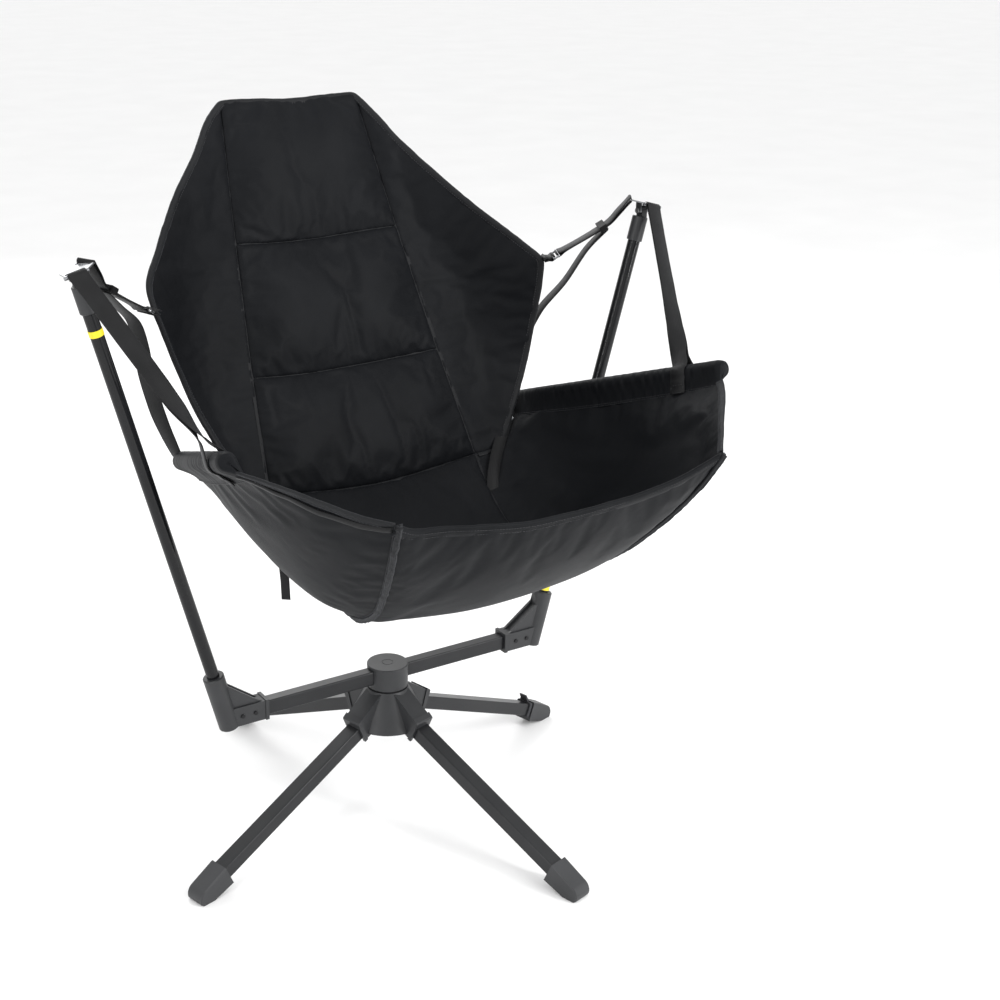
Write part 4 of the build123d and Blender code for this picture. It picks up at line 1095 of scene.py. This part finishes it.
    # tab from the back's corner through the ring
    corner = WIDE
    tab0 = corner + unit(P(150, 165, 780) - corner) * 0.001
    for b_, nm in ((1.0, "front"), (-1.0, "back")):
        ctrl = [tab0 + RN * 0.0024 * b_, corner + rdir * -0.003 + RN * 0.0030 * b_, ring_c + rdir * 0.010 + RN * 0.0020 * b_, ring_c + rdir * 0.0050 + RN * 0.0030 * b_]
        ribbon("ring_tab_web_%s_%s" % (nm, side), [m(q) for q in ctrl], m(RW), 0.0245, 0.0014, seed=51 + sgn, replaces=("ring_tab_" + side,) if b_ > 0 else None, wob=0.0001)
    th = np.linspace(-math.pi / 2, math.pi / 2, 11)
    c_ = ring_c + rdir * 0.0046
    loop = np.array([c_ - rdir * math.cos(t_) * 0.0028 + RN * math.sin(t_) * 0.0030 for t_ in th])
    ribbon("web_turn_tab_%s" % side, [m(q) for q in loop], m(RW), 0.0245, 0.0013, raw=True, wob=0.0, seed=36)
    # lower strap: from the slider, bowed in behind the wing, to the arm's rear end
    s0 = slider_c + rdir * 0.006 + np.array([0.002, -0.002, -0.005])
    W2 = unit([0.39, 0.92, 0])
    if sgn > 0:
        lower_ctrl = [s0, P(391, 46, 846), P(362, 64, 792), P(332, 88, 742), P(314, 101, 690), P(304, 104, 640), P(293, 101, 606)]
    else:
        lower_ctrl = [s0, P(388, 50, 850), P(362, 62, 822), P(350, 70, 785), P(340, 82, 738), P(318, 98, 672), P(302, 103, 632), P(291, 101, 604)]
    ribbon("lower_web_" + side, [m(q) for q in lower_ctrl], [m(w) for w in ([W2, W2, (0.35, 0.93, 0), (0.25, 0.95, 0.0), (0.2, 0.96, 0.0), (0.2, 0.96, 0), (0.2, 0.96, 0)] if sgn > 0 else [W2, W2, (0.5, 0.8, 0), (0.62, 0.74, 0), (0.66, 0.7, 0), (0.66, 0.7, 0), (0.5, 0.84, 0), (0.3, 0.95, 0)])], 0.0245, 0.0014, seed=71 + sgn, replaces=("lower_strap_" + side,))
    # corner strap: from the arm's rear end down to the crease, with a small ring part way
    cs = [P(290, 90, 611), P(277, 78, 598), P(254, 57, 580), P(229, 36, 561), P(204, 12, 543), P(185, -9, 524), P(173, -26, 502)]
    Wc = unit([-0.50, 0.50, 0.37])
    ribbon("corner_web_" + side, [m(q) for q in cs], m(Wc), 0.0185, 0.0015, seed=81 + sgn, wob=0.0003)
    # small ring on the corner strap
    rc, rn = P(256, 54, 586), unit([-0.55, -0.70, 0.40])
    e1 = unit(np.cross(rn, [0.5, 0.3, 0.8]))
    e2 = np.cross(rn, e1)
    th = np.linspace(0, 2 * math.pi, 33)
    loop = np.array([rc + e1 * math.cos(t_) * 0.0062 + e2 * math.sin(t_) * 0.0040 for t_ in th])
    up_ = np.array([e1 * math.cos(t_) / 0.0062 + e2 * math.sin(t_) / 0.0040 for t_ in th])
    up_ = unit(up_)
    circle = [(0.0012 * math.cos(q), 0.0012 * math.sin(q)) for q in np.linspace(0, 2 * math.pi, 10)[:-1]]
    sweep("corner_ring_" + side, np.array([m(q) for q in loop]), np.array([m(q) for q in up_]), np.array([m(rn)] * len(loop)), circle, M["bright"])

# loose webbing tail sewn into the left underside seam
tail = [P(-203, -52, 500), P(-204, -54, 472), P(-202, -54, 448), P(-201, -53, 434), P(-199, -50, 417)]
ribbon("tail_web", tail, unit([0.75, -0.6, 0.1]), 0.013, 0.0014, seed=91, wob=0.0004)

for sgn, side in ((1, "right"), (-1, "left")):
    c = resample(seat_seam if sgn > 0 else flip(seat_seam), 0.0035)
    sp = side_panels[sgn]
    n_a = nearest_normals(c, seat_panel.p3, seat_panel.n)
    n_b = nearest_normals(c, sp["co"], sp["n"])
    out_ = -unit(n_a + n_b)
    A, B = frame_on(c, out_)
    s_ = np.arange(len(c)) * 0.0035
    rings = np.repeat(np.array([(-3.6, -2.0), (0, -2.6), (3.6, -2.0), (4.4, 0.2), (3.2, 2.0), (0.9, 2.6), (0.3, 5.2), (-0.3, 5.2), (-0.9, 2.6), (-3.2, 2.0), (-4.4, 0.2)])[None] / 1000.0, len(c), 0)
    rings[:, :, 0] += (0.0012 * noise1(s_ / 0.011, 401 + sgn, 2))[:, None]
    rings[:, 6:8, 1] += (0.0009 * noise1(s_ / 0.007, 411 + sgn, 2))[:, None]
    rings[:, 6:8, 0] += (0.0012 * noise1(s_ / 0.006, 421 + sgn, 2))[:, None]
    sweep("seam_ridge_" + side, c + B * 0.0034, A, B, rings, M["binding"])
    stitch_row("seam_ridge_thread_" + side, c + B * 0.0034, B, 0.0026, offset=0.0026, seed=95 + sgn)
    # dark webbing strip raised on the side panel's outer face, a little inside the front edge: painted shade standing
    # in for the shadow of the fold under the edge binding, no real part
    e = resample(sp["front"], 0.004)[1:-1]
    N_ = nearest_normals(e, sp["co"], sp["n"])
    A, B = frame_on(e, N_, away=sp["co"].mean(0))
    t_ = np.linspace(0, 1, len(e))
    drop = 0.0075 + 0.0085 * np.sin(np.pi * t_) ** 0.7
    inn = e - A * drop[:, None]
    idx = [int(np.argmin(((sp["co"] - q) ** 2).sum(1))) for q in inn]
    base_p = soften(sp["co"][idx], 14)
    s_ = np.arange(len(e)) * 0.004
    rings = np.repeat(np.array(flat_ring(0.0085, 0.0030))[None], len(e), 0)
    rings[:, :, 1] += (0.0007 * noise1(s_ / 0.02, 431 + sgn, 2))[:, None]
    rings[:, :, 0] += (0.0009 * noise1(s_ / 0.03, 441 + sgn, 2))[:, None]
    sweep("fold_shadow_strip_" + side, base_p - B * 0.0026, A, B, rings, M["web"])

# pockets on the back that hold the two stay rods
for sgn, side in ((1, "right"), (-1, "left")):
    co = np.array([tuple(v.co) for v in nodes["back_stay_" + side].data.vertices], float)
    mid = co.mean(0)
    _, _, vt = np.linalg.svd(co - mid, full_matrices=False)
    d = vt[0] if vt[0][2] > 0 else -vt[0]
    h = (co - mid) @ d
    c = resample(np.vstack([mid + d * (h.min() - 0.004), mid + d * (h.max() + 0.003)]), 0.004)
    A, B = frame_on(c, np.broadcast_to(-BACK_N, c.shape))
    s_ = np.arange(len(c)) * 0.004
    # how far the cloth lies in front of the rod at each station
    line = np.vstack([seam_up[sgn][0], seam_up[sgn][1][1:], seam_up[sgn][2][1:]])
    dp = np.array([(line[np.argmin(((line - q) ** 2).sum(1))] - q) @ (-B[i]) for i, q in enumerate(c)])
    dp = np.clip(soften(dp[:, None], 10)[:, 0] * 1000.0, 13.0, 26.0)
    rings = np.array([[
        (-17, -(p_ - 6.2)), (-13, -(p_ - 7.8)), (-8.2, -max(6.5, (p_ - 7.8) * 0.60)), (-6.9, -4.6), (-6.5, 0), (-4.6, 4.6), (0, 6.5), (4.6, 4.6), (6.5, 0), (6.9, -4.6),
        (8.2, -max(6.5, (p_ - 7.8) * 0.60)), (13, -(p_ - 7.8)), (17, -(p_ - 6.2)), (16.6, -(p_ - 4.4)), (0, -(p_ - 3.4)), (-16.6, -(p_ - 4.4)),
    ] for p_ in dp]) / 1000.0
    taper = np.clip((s_[-1] - s_) / 0.045, 0.42, 1.0)
    for j in (0, 1, 11, 12, 13, 15):
        rings[:, j, 0] *= taper
    for j in (1, 2, 3, 9, 10, 11):
        rings[:, j, 0] += 0.0011 * noise1(s_ / 0.020 + 0.3 * j, 451 + sgn, 2)
        rings[:, j, 1] += 0.0009 * noise1(s_ / 0.017 + 0.2 * j, 461 + sgn, 2)
    rings[:, (0, 15), 0] += (0.0008 * noise1(s_ / 0.03, 471 + sgn, 2))[:, None]
    rings[:, (12, 13), 0] += (0.0008 * noise1(s_ / 0.03, 481 + sgn, 2))[:, None]
    o = sweep("stay_pocket_" + side, c, A, B, rings, M["pad"])
    weld_shade(o)
    for off in (-0.0148, 0.0148):
        stitch_row("stay_pocket_thread_%s_%s" % (side, "a" if off < 0 else "b"), c[1:-12] - B[1:-12] * ((dp[1:-12] - 7.4) / 1000.0)[:, None], B[1:-12], 0.0003, offset=off, seed=101)
